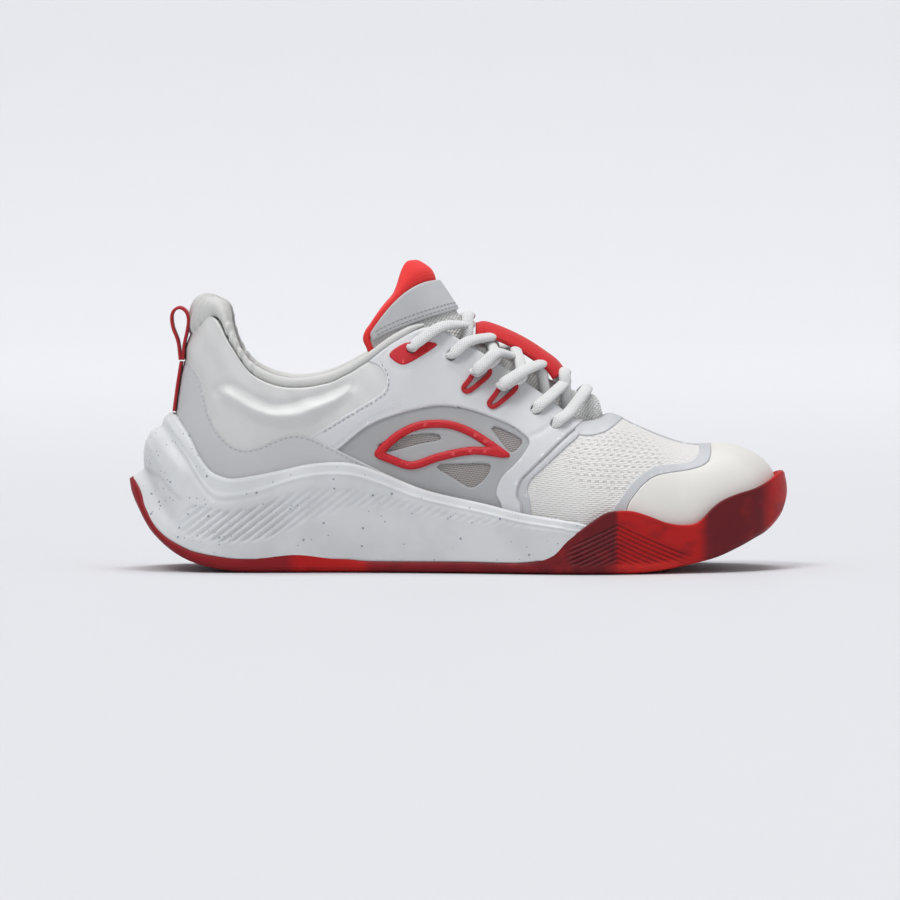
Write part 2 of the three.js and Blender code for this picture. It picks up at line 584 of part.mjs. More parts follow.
const foamArea = prism(gradeOutline([[-160, 150], [-160, 73], [-104, 71], [-92, 63], [-83, 60.5], [-62, 60.5],
  [-52, 67], [-40, 75], [-38, 84], [-43, 92], [-46, 150]]));
add('collar_foam', wallShell(layer.mesh.outer, layer.stiffener.inner).intersect(foamArea), 0xd9d3c4, 0.95);
add('lining', drilled(drilled(liningShell, -1), 1), 0xdcdcda, 0.95);

// Tubes of chosen rings, closed at both ends
const loft = (rings) => {
  const points = rings.flat();
  const sides = rings[0].length;
  const faces = [];
  for (let r = 0; r < rings.length - 1; r++) {
    for (let i = 0; i < sides; i++) {
      const a = r * sides + i;
      const b = r * sides + (i + 1) % sides;
      quad(faces, a, b, b + sides, a + sides);
    }
  }
  const last = (rings.length - 1) * sides;
  for (let i = 1; i < sides - 1; i++) faces.push([0, i + 1, i], [last, last + i, last + i + 1]);
  const solid = toManifold(solidFrom(points, faces));
  if (solid.volume() > 0) return solid;
  return toManifold(solidFrom(points, faces.map(([a, b, c]) => [a, c, b])));
};
const oval = (centre, across, up, halfAcross, halfUp, sides = 8) => {
  const ring = [];
  for (let i = 0; i < sides; i++) {
    const angle = 2 * Math.PI * (i + 0.5) / sides;
    ring.push(centre.clone().addScaledVector(across, halfAcross * Math.cos(angle))
      .addScaledVector(up, halfUp * Math.sin(angle)));
  }
  return ring;
};

// Padded roll around the collar, on top of the layered wall: half its width and height at each rib
const rollHalf = [[5, 3.9], [4.8, 3.9], [4.2, 3.6], [3.2, 3.2], [3.3, 2.6], [3.3, 2.4], [3.1, 2.3],
  [2.9, 2.2], [2.5, 2]];
const rollRing = (side, rib) => {
  const edge = wallPoint(side, rib, 1);
  const out = wallNormal(side, rib, 1);
  if (rib === 0) out.setY(0).normalize();
  const up = edge.clone().sub(wallPoint(side, rib, 0.97)).normalize();
  const [width, height] = rollHalf[rib];
  return oval(edge.addScaledVector(out, -width).addScaledVector(up, height + 3.3 * seamGap), out, up, width, height);
};
const rollRibs = rollHalf.map((_, rib) => rib);
const rollRings = [...rollRibs.slice(1).reverse().map((rib) => rollRing(-1, rib)),
  ...rollRibs.map((rib) => rollRing(1, rib))];
add('collar_roll', loft(rollRings), 0xe0e0dc, 0.95);

// Tongue layers
const topRib = tongueRibs.length - 1;
const patchRib = 8.4;
add('tongue_mesh', tongueSheet(0, topRib, 0, -meshThickness), 0xb4b5b7, 0.9);
const foamTop = -meshThickness - 2 * seamGap;
const paddedRib = 5;            // the padding starts above the throat
add('tongue_foam', tongueSheet(paddedRib, topRib, foamTop, foamTop - tongueFoam, 0.82), 0xd9d3c4, 0.95);
const tongueBack = foamTop - tongueFoam - 2 * seamGap;
add('tongue_lining', tongueSheet(paddedRib, topRib, tongueBack, tongueBack - meshThickness, 0.82),
  0xd8262c, 0.9);
add('tongue_patch', tongueSheet(patchRib, topRib, seamGap + 1, seamGap, 0.7), 0xbfc0c2, 0.6);

// Red binding over the tongue's sides and top, standing up as a soft lobe in the middle
const lobeHeight = 15;
const bindingRing = (rib, across) => {
  const base = tonguePoint(rib, across);
  const inward = tonguePoint(rib, across * 0.96);
  const below = tonguePoint(rib - 0.1, across);
  const isTop = rib >= topRib;
  const lobe = isTop ? Math.max(0, Math.cos(Math.PI / 2 * across / 0.85)) : 0;
  const out = isTop ? base.clone().sub(below).setY(0).normalize() : base.clone().sub(inward).normalize();
  out.add(new THREE.Vector3(-0.25 * lobe, 0, 0)).normalize();
  const along = isTop ? tonguePoint(rib, across + 0.02).sub(tonguePoint(rib, across - 0.02)).normalize()
    : base.clone().sub(below).normalize();
  const face = new THREE.Vector3().crossVectors(along, out).normalize();
  if (face.x < 0) face.negate();
  const half = bindingHeight / 2 + (lobeHeight - bindingHeight) / 2 * lobe;
  const thick = (tongueFoam + 3) / 2;
  const corner = Math.abs(across) > 0.9 && rib > topRib - 0.6 ? 7 * seamGap : seamGap;
  const centre = base.addScaledVector(out, half + corner).addScaledVector(face, -thick + 1.2);
  return oval(centre, out, face, half, thick - 0.4 * lobe);
};
const bindingSides = [patchRib, 9, 9.6, 10.2, 10.7];
const bindingTop = [-0.97, -0.8, -0.55, -0.28, 0, 0.28, 0.55, 0.8, 0.97];
add('tongue_binding', loft([...bindingSides.map((rib) => bindingRing(rib, -1)),
  ...bindingTop.map((across) => bindingRing(topRib, across)),
  ...[...bindingSides].reverse().map((rib) => bindingRing(rib, 1))]), 0xe8352f, 0.85);

// Pull loop and its strap at the heel
const strapFoot = 67.8;
const loopFoot = 90.4;
const heelBand = wallShell(seamGap + webbingThickness, seamGap).intersect(toManifold(
  new THREE.BoxGeometry(30, loopWidth, (loopFoot - 0.4 - strapFoot) * grade.z)
    .translate(-122 * grade.x, 0, (loopFoot - 0.4 + strapFoot) / 2 * grade.z)));
add('heel_strap', heelBand, 0xc21f2b, 0.8);
const loopOuter = gradeOutline([[-118.8, 90.4], [-118.1, 96], [-116.6, 102.5], [-116.1, 107.5], [-117.3, 111.2],
  [-120.4, 113.2], [-123.4, 112], [-124.8, 108.6], [-124.2, 103.6], [-122, 97.6], [-120.9, 90.4]]);
const loopShape = new THREE.Shape(loopOuter.map(([x, z]) => new THREE.Vector2(x, z)));
const loopEye = grow(loopOuter.slice(1, -1), -webbingThickness);
loopShape.holes.push(new THREE.Path([...loopEye].reverse().map(([x, z]) => new THREE.Vector2(x, z))));
const loopSolid = new THREE.ExtrudeGeometry(loopShape, { depth: loopWidth, bevelEnabled: false });
loopSolid.rotateX(Math.PI / 2).translate(0, loopWidth / 2, 0);
add('heel_loop', toManifold(loopSolid), 0xc21f2b, 0.8);

// Lacing
const radius = laceDiameter / 2;
const lips = [47, 38.5, 26.5, 15, 3.5, -8];
const ribOfEdge = (x) => {
  let rib = 8;
  while (ribAt(rib)[4] < x) rib += 0.05;
  return rib;
};
const spotOf = (side, index) => {
  const { x, z } = eyelets[index];
  const { point, normal } = onWall(side, x, z);
  const lipRib = ribOfEdge(lips[index]);
  const lip = wallPoint(side, lipRib, 1);
  return { point, normal, lip, lipNormal: wallNormal(side, lipRib, 1) };
};
const from = (point, normal, height) => point.clone().addScaledVector(normal, height);
const under = -wallStack - radius - 0.35;
// Out of a hole and over the edge, or through a webbing loop; listed from below to above.
const throughEyelet = (side, index) => {
  const { point, normal, lip, lipNormal } = spotOf(side, index);
  const inward = lip.clone().sub(point).normalize();
  const shift = (distance, height) => from(point, normal, height).addScaledVector(inward, distance);
  if (eyelets[index].kind === 'loop') {
    return {
      below: [from(lip, lipNormal, radius + 0.6), shift(0.4, radius + 0.4), shift(-1.8, radius + 0.9)],
      above: [shift(-3, radius + 3.4), shift(-2.7, radius + 6.2), shift(-0.8, radius + 9.4), shift(2.4, radius + 9.4),
        from(lip, lipNormal, radius + 7.4)],
    };
  }
  const rim = eyelets[index].kind === 'patch' ? 1.6 : 0.3;
  return {
    below: [from(lip, lipNormal, under).addScaledVector(inward, 1.5), shift(4, under), shift(0.6, under + 0.6)],
    above: [shift(0, -wallStack / 2), shift(0.5, radius + rim - 0.4), shift(4.2, radius + rim + 0.7),
      from(lip, lipNormal, radius + 0.8)],
  };
};
const crossingPoint = (x, level, y = 0) => {
  const p = tongueCentre(x);
  return new THREE.Vector3(p.x, y, p.z + radius + 1 + level * (laceDiameter + seamGap));
};
const halfLace = (side, level) => {
  const points = [];
  for (const [x, z] of [[-43, 56], [-38, 68], [-32, 80], [-25, 89]]) {
    const spot = onWall(side, x, z);
    points.push(from(spot.point, spot.normal, under - (z < 60 ? 2 : 0)));
  }
  let now = side;
  for (let index = 5; index >= 0; index--) {
    const { below, above } = throughEyelet(now, index);
    const entry = index === 5 ? below.slice(2) : below;
    points.push(...entry, ...above);
    if (index > 0) {
      const x = eyelets[index].crossing;
      points.push(crossingPoint(x, level, now * 6), crossingPoint(x, level, -now * 6));
    }
    now = -now;
  }
  return points;
};
const barX = 54.5;
const laceRoute = [...halfLace(-1, 0), crossingPoint(barX, 0, 8), crossingPoint(barX, 0, -8),
  ...halfLace(1, 1).reverse()];
add('lace', toManifold(sweep(laceRoute, radius)), 0xe6e6e6, 0.9);
const tipAt = (side) => {
  const end = onWall(side, -43, 56);
  const start = from(end.point, end.normal, under - 2);
  const back = onWall(side, -38, 68);
  const way = start.clone().sub(from(back.point, back.normal, under - 0.4)).normalize();
  return toManifold(sweep([start.clone().addScaledVector(way, seamGap),
    start.clone().addScaledVector(way, tipLength / 2), start.clone().addScaledVector(way, tipLength)], radius * 0.8));
};
for (const [side, name] of both) add(`lace_tip_${name}`, tipAt(side), 0xe9e9e6, 0.3);

// Webbing eyelet loops, hinged up off the quarter so that the lace passes under their bars
for (const [side, name] of both) {
  for (const [number, index] of [[1, 3], [2, 2]]) {
    const { point, normal, lip } = spotOf(side, index);
    const inward = lip.clone().sub(point).normalize();
    const root = onWall(side, eyelets[index].x - 5.6, eyelets[index].z - 6.4);
    const base = from(root.point, root.normal, seamGap + 0.5);
    const tip = from(point, normal, laceDiameter + 2.2).addScaledVector(inward, 1.2);
    const up = tip.clone().sub(base);
    const length = up.length();
    up.normalize();
    const wide = new THREE.Vector3().crossVectors(up, normal).normalize();
    const face = new THREE.Vector3().crossVectors(wide, up).normalize();
    const outline = new THREE.Shape([[-3.4, 0], [3.4, 0], [5.1, length - 1.5], [4, length], [-4, length],
      [-5.1, length - 1.5]].map(([a, b]) => new THREE.Vector2(a, b)));
    outline.holes.push(new THREE.Path([[-2.2, 1.4], [-3.7, length - 1.5], [3.7, length - 1.5], [2.2, 1.4]]
      .map(([a, b]) => new THREE.Vector2(a, b))));
    const plate = new THREE.ExtrudeGeometry(outline, { depth: webbingThickness, bevelEnabled: false });
    plate.applyMatrix4(new THREE.Matrix4().makeBasis(wide, up, face).setPosition(base));
    add(`lace_loop_${name}_${number}`, toManifold(plate), 0xb3202c, 0.8);
  }
  const patch = prism(gradeOutline([[-29.9, 92.3], [-27.5, 95.4], [-20.6, 98.8], [-10.6, 97.3], [-10.6, 95.4],
    [-21.4, 89.2], [-25.2, 88.8], [-29.1, 90.7]]), side);
  const raised = wallShell(seamGap + 1, seamGap).intersect(patch);
  add(`eyelet_patch_${name}`, raised.subtract(drill(side, eyelets[5])), 0xa80c1f, 0.4);
}

// Cover strap over the crossings
const coverFrom = 42;
const coverTo = 8.6;
const coverRows = 8;
const coverPoints = [];
const coverFaces = [];
for (let row = 0; row <= coverRows; row++) {
  const part = row / coverRows;
  const arch = 2.2 * Math.sin(Math.PI * part);
  for (let column = 0; column <= 4; column++) {
    const across = column / 2 - 1;
    const p = crossingPoint(coverFrom + (coverTo - coverFrom) * part, 1);
    coverPoints.push(new THREE.Vector3(p.x, across * strapWidth / 2, p.z + radius + 0.4 + arch - across * across));
  }
}
for (let row = 0; row < coverRows; row++) {
  for (let column = 0; column < 4; column++) {
    const a = row * 5 + column;
    quad(coverFaces, a, a + 1, a + 6, a + 5);
  }
}
add('lace_cover', thicken(coverPoints, coverFaces, webbingThickness, 0), 0xd71421, 0.7);

export default model;
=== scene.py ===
import math

import bpy
import numpy as np
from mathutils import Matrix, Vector
from mathutils.bvhtree import BVHTree


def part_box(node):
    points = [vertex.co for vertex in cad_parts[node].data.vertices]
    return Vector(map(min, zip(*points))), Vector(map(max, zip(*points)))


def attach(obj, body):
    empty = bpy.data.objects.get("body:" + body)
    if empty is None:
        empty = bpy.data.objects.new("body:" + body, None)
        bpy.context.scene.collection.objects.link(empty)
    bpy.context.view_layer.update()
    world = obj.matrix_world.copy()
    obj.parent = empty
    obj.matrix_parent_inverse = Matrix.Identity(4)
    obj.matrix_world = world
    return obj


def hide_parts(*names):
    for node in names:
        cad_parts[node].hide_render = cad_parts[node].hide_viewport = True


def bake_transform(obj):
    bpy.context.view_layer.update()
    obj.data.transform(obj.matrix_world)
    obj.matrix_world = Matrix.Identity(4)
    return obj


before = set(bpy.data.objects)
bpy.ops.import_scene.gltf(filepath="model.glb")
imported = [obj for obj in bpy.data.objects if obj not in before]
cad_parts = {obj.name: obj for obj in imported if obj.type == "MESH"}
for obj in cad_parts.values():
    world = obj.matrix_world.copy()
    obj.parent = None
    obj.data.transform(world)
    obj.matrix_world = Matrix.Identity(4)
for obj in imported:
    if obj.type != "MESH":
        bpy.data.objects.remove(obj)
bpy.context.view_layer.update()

mm = 0.001                       # shapes are worked out in millimetres and stored in metres
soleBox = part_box("outsole")
designLength = 284.8             # outsole length that the outlines below are drawn for
fit = (soleBox[1][0] - soleBox[0][0]) / mm / designLength
lateral, medial = -1, 1
sideNames = {lateral: "lateral", medial: "medial"}

# camera, floor and light
studio = {
    "distance": 3.2, "elevation": 2.5, "centre": (-0.0039, 0.0, 0.0508), "frameWidth": 0.3894,
    "floor": (0.63, 0.635, 0.652), "key": 1.22, "fill": 2.5, "top": 1.62, "backdrop": 11.0, "world": 0.45,
}


def addCamera(s):
    tilt = math.radians(s["elevation"])
    data = bpy.data.cameras.new("camera")
    data.sensor_width = 36
    data.lens = data.sensor_width * s["distance"] / s["frameWidth"]
    data.clip_end = 50
    camera = bpy.data.objects.new("camera", data)
    camera.location = Vector(s["centre"]) + s["distance"] * Vector((0, -math.cos(tilt), math.sin(tilt)))
    camera.rotation_euler = (math.pi / 2 - tilt, 0, 0)
    bpy.context.scene.collection.objects.link(camera)
    bpy.context.scene.camera = camera


def addLight(name, place, target, size, power):
    data = bpy.data.lights.new(name, "AREA")
    data.shape, data.size, data.energy = "DISK", size, power
    light = bpy.data.objects.new(name, data)
    light.location = place
    light.rotation_euler = (Vector(target) - Vector(place)).to_track_quat("-Z", "Y").to_euler()
    bpy.context.scene.collection.objects.link(light)


def addSun(name, source, spread, power):
    data = bpy.data.lights.new(name, "SUN")
    data.angle, data.energy = math.radians(spread), power
    light = bpy.data.objects.new(name, data)
    light.rotation_euler = Vector(source).to_track_quat("Z", "Y").to_euler()
    bpy.context.scene.collection.objects.link(light)


# shader arithmetic
class Wire:
    # a shader socket that takes part in plain arithmetic
    def __init__(self, paint, socket):
        self.paint, self.socket = paint, socket

    def math(self, operation, *values):
        return self.paint.node("Math", {"operation": operation}, dict(enumerate(values)))

    def __add__(self, other):
        return self.math("ADD", self, other)

    def __radd__(self, other):
        return self.math("ADD", other, self)

    def __sub__(self, other):
        return self.math("SUBTRACT", self, other)

    def __rsub__(self, other):
        return self.math("SUBTRACT", other, self)

    def __mul__(self, other):
        return self.math("MULTIPLY", self, other)

    def __rmul__(self, other):
        return self.math("MULTIPLY", other, self)

    def __truediv__(self, other):
        return self.math("DIVIDE", self, other)

    def __pow__(self, other):
        return self.math("POWER", self, other)

    def __gt__(self, other):
        return self.math("GREATER_THAN", self, other)

    def __lt__(self, other):
        return self.math("LESS_THAN", self, other)

    def floor(self):
        return self.math("FLOOR", self)

    def fract(self):
        return self.math("FRACT", self)

    def size(self):
        return self.math("ABSOLUTE", self)

    def most(self, other):
        return self.math("MAXIMUM", self, other)


class Paint:
    # one material, built node by node
    def __init__(self, name):
        self.material = bpy.data.materials.new(name)
        self.material.use_nodes = True
        self.tree = self.material.node_tree
        self.shader = self.tree.nodes["Principled BSDF"]

    def node(self, kind, settings, inputs, output=0):
        made = self.tree.nodes.new("ShaderNode" + kind)
        for key, value in settings.items():
            if key == "stops":
                ramp = made.color_ramp
                while len(ramp.elements) < len(value):
                    ramp.elements.new(0.5)
                for element, (place, colour) in zip(ramp.elements, value):
                    element.position, element.color = place, (*colour, 1)
            elif key == "interpolation" and kind == "ValToRGB":
                made.color_ramp.interpolation = value
            else:
                setattr(made, key, value)
        for key, value in inputs.items():
            self.feed(made.inputs[key], value)
        return Wire(self, made.outputs[output])

    def feed(self, socket, value):
        if isinstance(value, Wire):
            self.tree.links.new(value.socket, socket)
        elif isinstance(value, (tuple, list)) and len(value) == 3 and socket.type == "RGBA":
            socket.default_value = (*value, 1)
        else:
            socket.default_value = value

    def place(self):
        spot = self.node("TexCoord", {}, {}, "Object")
        return self.node("VectorMath", {"operation": "SCALE"}, {0: spot, "Scale": 1 / mm})

    def cloth(self):
        spot = self.node("UVMap", {"uv_map": "UVMap"}, {})
        return self.split(self.node("VectorMath", {"operation": "SCALE"}, {0: spot, "Scale": 1 / mm}))

    def split(self, vector):
        made = self.node("SeparateXYZ", {}, {0: vector}).socket.node
        return [Wire(self, made.outputs[i]) for i in range(3)]

    def join(self, x, y, z=0.0):
        return self.node("CombineXYZ", {}, {0: x, 1: y, 2: z})

    def noise(self, vector, scale, detail=3.0, rough=0.5):
        inputs = {"Vector": vector, "Scale": scale, "Detail": detail, "Roughness": rough}
        return self.node("TexNoise", {}, inputs)

    def mix(self, factor, low, high):
        return self.node("Mix", {"data_type": "RGBA"}, {0: factor, 6: low, 7: high}, 2)

    def spread(self, value, low, high, toLow=0.0, toHigh=1.0):
        return self.node("MapRange", {"interpolation_type": "SMOOTHSTEP"},
                         {0: value, 1: low, 2: high, 3: toLow, 4: toHigh})

    def bump(self, height, distance, strength=1.0):
        return self.node("Bump", {}, {"Height": height, "Distance": distance * mm, "Strength": strength})

    def finish(self, **sockets):
        for name, value in sockets.items():
            self.feed(self.shader.inputs[name.replace("_", " ")], value)
        return self.material


def leatherFilm(name, colour, roughness, grain=0.12, scale=1.1, shade=0.93):
    p = Paint(name)
    spot = p.place()
    pebble = p.node("TexVoronoi", {"feature": "DISTANCE_TO_EDGE"}, {"Vector": spot, "Scale": scale})
    soft = p.noise(spot, 0.035, 2.0)
    fine = p.noise(spot, 1.6, 4.0)
    base = p.mix(p.spread(soft, 0.35, 0.65), tuple(c * shade for c in colour), colour)
    base = p.mix(p.spread(pebble, 0.0, 0.12, 0.16, 0.0), base, tuple(c * 0.82 for c in colour))
    height = p.spread(pebble, 0.0, 0.22) * 0.7 + fine * 0.5
    return p.finish(Base_Color=base, Roughness=roughness - 0.06 + 0.14 * fine, Normal=p.bump(height, grain))


def smoothFilm(name, colour, roughness, coat=0.0):
    p = Paint(name)
    spot = p.place()
    cloud = p.noise(spot, 0.05, 2.0)
    fine = p.noise(spot, 2.2, 3.0)
    base = p.mix(p.spread(cloud, 0.3, 0.7), tuple(c * 0.95 for c in colour), colour)
    p.shader.inputs["Coat Weight"].default_value = coat
    return p.finish(Base_Color=base, Roughness=roughness - 0.05 + 0.1 * fine, Normal=p.bump(fine, 0.05))


def knit(name, light, dark, row, stitch, depth, openness=0.5, slotted=False):
    # rows of elongated loops, each row shifted half a loop against the last
    p = Paint(name)
    u, v, _ = p.cloth()
    wave = p.noise(p.join(u, v), 0.08, 2.0)
    v = v + wave * (row * 0.8)
    line = (v / row).floor()
    shift = (line * 0.5).fract() * stitch
    across = (((u + shift) / stitch).fract() - 0.5).size() * 2.0
    up = ((v / row).fract() - 0.5).size() * 2.0
    loop = (1 - across * across) * (1 - up * up)
    hole = p.spread(across * openness + up * 0.6, 0.62, 0.95)
    fine = p.noise(p.join(u, v), 4.0, 2.0)
    height = loop + fine * 0.25
    if slotted:
        x, y, z = p.split(p.place())
        patch = p.spread(((x - 67.0) / 24.0) ** 2.0 + ((z - 47.0) / 15.0) ** 2.0, 0.55, 1.0, 1.0, 0.0)
        cell = (line / 3.0).floor()
        run = ((u + (cell * 0.37).fract() * 3.6) / 3.6).fract()
        dash = p.spread((run - 0.5).size(), 0.17, 0.24, 0.75, 0.0)
        pair = ((line / 3.0).fract() > 0.6) * dash * patch
        hole = hole.most(pair)
        height = height - pair * 1.5
    base = p.mix(hole, light, dark)
    base = p.mix(p.spread(fine, 0.35, 0.7, 0.0, 0.25), base, dark)
    p.shader.inputs["Sheen Weight"].default_value = 0.15
    return p.finish(Base_Color=base, Roughness=0.82 + 0.12 * fine, Normal=p.bump(height, depth))


def webbing(name, light, dark, rib=1.1, depth=0.3):
    p = Paint(name)
    u, v, _ = p.cloth()
    fine = p.noise(p.join(u, v), 3.0, 2.0)
    twill = ((u / rib + v / (rib * 1.6)).fract() - 0.5).size() * 2.0
    cross = ((v / (rib * 0.9)).fract() - 0.5).size() * 2.0
    height = twill * 0.7 + cross * 0.4 + fine * 0.3
    base = p.mix(p.spread(height, 0.35, 1.1), dark, light)
    p.shader.inputs["Sheen Weight"].default_value = 0.2
    return p.finish(Base_Color=base, Roughness=0.72 + 0.12 * fine, Normal=p.bump(height, depth))


def braid(name, light, dark):
    # two families of strands that cross over each other round the cord
    p = Paint(name)
    u, v, _ = p.cloth()
    fine = p.noise(p.join(u, v), 5.0, 2.0)
    one = ((u / 1.2 + v / 1.3).fract() - 0.5).size() * 2.0
    two = ((u / 1.2 - v / 1.3).fract() - 0.5).size() * 2.0
    height = (1 - one * one).most(1 - two * two) + fine * 0.3
    base = p.mix(p.spread(height, 0.45, 1.1), dark, light)
    p.shader.inputs["Sheen Weight"].default_value = 0.25
    return p.finish(Base_Color=base, Roughness=0.85 + 0.1 * fine, Normal=p.bump(height, 0.26))


def speckledFoam(name):
    p = Paint(name)
    spot = p.place()
    x, y, z = p.split(spot)
    cloud = p.noise(spot, 0.06, 3.0)
    cells = p.node("TexVoronoi", {"feature": "F1"}, {"Vector": spot, "Scale": 0.24, "Randomness": 1.0})
    chance = p.split(p.node("TexVoronoi", {"feature": "F1"}, {"Vector": spot, "Scale": 0.24}, "Color"))[0]
    edge = p.noise(spot, 1.3, 3.0)
    heel = p.spread(x, -60.0, -122.0)
    size = 0.06 + 0.17 * edge
    spotMask = p.spread(cells / size, 0.75, 1.05, 1.0, 0.0) * (chance < (0.2 + 0.22 * heel))
    small = p.node("TexVoronoi", {"feature": "F1"}, {"Vector": spot, "Scale": 0.6})
    smallChance = p.split(p.node("TexVoronoi", {"feature": "F1"}, {"Vector": spot, "Scale": 0.6}, "Color"))[1]
    tiny = p.spread(small / (0.12 + 0.2 * edge), 0.7, 1.0, 1.0, 0.0) * (smallChance < (0.07 + 0.16 * heel))
    white = p.mix(p.spread(cloud, 0.35, 0.65), (0.62, 0.63, 0.635), (0.68, 0.69, 0.695))
    base = p.mix(spotMask.most(tiny) * 0.8, white, (0.16, 0.20, 0.27))
    skin = p.noise(spot, 3.0, 4.0)
    return p.finish(Base_Color=base, Roughness=0.5 + 0.15 * skin, Normal=p.bump(skin, 0.08))


def marbledRubber(name):
    # clear red rubber over darker and brighter blocks, with soft clouds inside, and painted shade along the
    # toe's fan grooves
    p = Paint(name)
    spot = p.place()
    x, y, z = p.split(spot)
    cloud = p.noise(spot, 0.05, 4.0, 0.6)
    veins = p.noise(p.join(x * 0.7, y * 0.7, z * 1.1), 0.12, 3.0, 0.55)
    along = (x + 142.5 + (cloud - 0.5) * 3.0) / 285.0
    dark, mid, bright = (0.13, 0.006, 0.010), (0.24, 0.006, 0.010), (0.44, 0.006, 0.006)
    blocks = p.node("ValToRGB", {"interpolation": "LINEAR", "stops": [
        (0.0, mid), (0.24, mid), (0.256, bright), (0.355, bright), (0.365, mid), (0.635, dark), (0.732, dark),
        (0.738, bright), (0.86, bright), (0.875, dark), (0.955, dark), (0.975, bright)]}, {0: along})
    low = p.spread(z + (cloud - 0.5) * 4.0, 2.5, 6.5, 1.0, 0.0) * p.spread(x, 60.0, 72.0)
    base = p.mix(low * 0.9, blocks, (0.62, 0.022, 0.016))
    base = p.mix(p.spread(veins, 0.46, 0.7, 0.0, 0.45), base, dark)
    # dark lines painted along the bottoms of the toe's fan grooves, matching the grooves in the outsole's
    # shape: painted shade
    fan = (x - 67.5).size()
    roof = z + fan * 0.5 - fan * fan * 0.0018
    cut = ((roof / 2.0).fract() - 0.5).size() * 2.0
    zone = p.spread(x, 43.0, 47.0) * p.spread(x, 94.0, 100.0, 1.0, 0.0) * p.spread(z, 3.5, 5.5)
    zone = zone * p.spread(roof, 21.5, 23.5, 1.0, 0.0)
    base = p.mix(p.spread(cut, 0.55, 0.1, 0.0, 0.5) * zone, base, (0.05, 0.002, 0.004))
    base = p.mix(p.spread(cloud, 0.5, 0.72, 0.0, 0.45), base, (0.38, 0.016, 0.016))
    rough = 0.4 + 0.2 * p.noise(spot, 0.5, 3.0)
    p.shader.inputs["Specular IOR Level"].default_value = 0.25
    return p.finish(Base_Color=base, Roughness=rough, Normal=p.bump(veins, 0.15))


def plainFoam(name, colour):
    p = Paint(name)
    spot = p.place()
    cell = p.node("TexVoronoi", {}, {"Vector": spot, "Scale": 1.4})
    base = p.mix(p.spread(cell, 0.2, 0.7, 0.0, 0.4), colour, tuple(c * 0.6 for c in colour))
    return p.finish(Base_Color=base, Roughness=0.9 + 0.05 * cell, Normal=p.bump(cell, 0.25))


def hardPlastic(name, colour, roughness):
    p = Paint(name)
    fine = p.noise(p.place(), 1.2, 3.0)
    base = p.mix(fine, tuple(c * 0.9 for c in colour), colour)
    return p.finish(Base_Color=base, Roughness=roughness + 0.1 * fine, Normal=p.bump(fine, 0.04))


materials = {
    "grey_panel_light": leatherFilm("grey_panel_light", (0.55, 0.553, 0.563), 0.5, 0.05, 1.4),
    # the upper's film painted darker for the heel foxing, standing in for the shade that falls there: painted
    # shade
    "shaded_upper_film": leatherFilm("shaded_upper_film", (0.57, 0.575, 0.58), 0.55, 0.05, 1.6, 0.96),
    "upper_film": leatherFilm("upper_film", (0.66, 0.67, 0.68), 0.5, 0.05, 1.6, 0.97),
    "collar_film": leatherFilm("collar_film", (0.68, 0.68, 0.665), 0.42, 0.04, 1.3, 0.96),
    "grey_tape": smoothFilm("grey_tape", (0.52, 0.53, 0.545), 0.42),
    "toe_film": smoothFilm("toe_film", (0.72, 0.70, 0.66), 0.4),
    "grey_panel": leatherFilm("grey_panel", (0.42, 0.423, 0.43), 0.5, 0.05, 1.4),
    "dark_mesh": knit("dark_mesh", (0.42, 0.40, 0.385), (0.13, 0.09, 0.085), 0.9, 1.3, 0.25, 0.55),
    "badge": smoothFilm("badge", (0.56, 0.004, 0.012), 0.52),
    "white_mesh": knit("white_mesh", (0.77, 0.755, 0.735), (0.54, 0.52, 0.49), 0.95, 3.4, 0.26, 0.25, True),
    "tongue_knit": knit("tongue_knit", (0.80, 0.79, 0.77), (0.40, 0.40, 0.40), 1.3, 1.8, 0.3, 0.42),
    "stiffener": hardPlastic("stiffener", (0.5, 0.47, 0.4), 0.6),
    "padding": plainFoam("padding", (0.62, 0.58, 0.5)),
    "lining_cloth": knit("lining_cloth", (0.66, 0.66, 0.64), (0.50, 0.50, 0.49), 0.8, 1.1, 0.12),
    "roll_cloth": leatherFilm("roll_cloth", (0.66, 0.66, 0.635), 0.6, 0.1, 1.5, 0.95),
    "red_textile": webbing("red_textile", (0.90, 0.03, 0.025), (0.74, 0.016, 0.014), 0.9, 0.1),
    "red_strap": webbing("red_strap", (0.74, 0.006, 0.009), (0.52, 0.003, 0.006), 0.8, 0.12),
    "red_webbing": webbing("red_webbing", (0.56, 0.006, 0.014), (0.34, 0.003, 0.008), 1.0, 0.2),
    "lace_cord": braid("lace_cord", (0.76, 0.76, 0.75), (0.52, 0.52, 0.51)),
    "lace_end": hardPlastic("lace_end", (0.75, 0.75, 0.72), 0.2),
    "sole_foam": speckledFoam("sole_foam"),
    "tread_rubber": marbledRubber("tread_rubber"),
    "board": plainFoam("board", (0.62, 0.58, 0.5)),
    "insole_cloth": knit("insole_cloth", (0.40, 0.41, 0.43), (0.26, 0.27, 0.29), 0.9, 1.2, 0.12),
    "thread": smoothFilm("thread", (0.40, 0.40, 0.39), 0.6),
    "grey_thread": smoothFilm("grey_thread", (0.34, 0.34, 0.35), 0.6),
}
print("materials ready")

# curves and surfaces
def splineAt(a, b, c, d, t):
    # between b and c on the curve through four places
    return 0.5 * (2 * b + (c - a) * t + (2 * a - 5 * b + 4 * c - d) * t ** 2
                  + (3 * b - 3 * c + d - a) * t ** 3)


def smoothLine(points, step=1.0, closed=False):
    # a curve through every point, sampled about a step apart
    p = np.asarray(points, float)
    before = p[-1] if closed else 2 * p[0] - p[1]
    ends = [p[0], p[1]] if closed else [2 * p[-1] - p[-2]]
    q = np.vstack([before, p, ends])
    out = []
    for i in range(1, len(q) - 2):
        a, b, c, d = q[i - 1], q[i], q[i + 1], q[i + 2]
        count = max(1, int(round(np.linalg.norm(c - b) / step)))
        t = (np.arange(count) / count)[:, None]
        out.append(splineAt(a, b, c, d, t))
    if not closed:
        out.append(q[-2][None])
    return np.vstack(out)


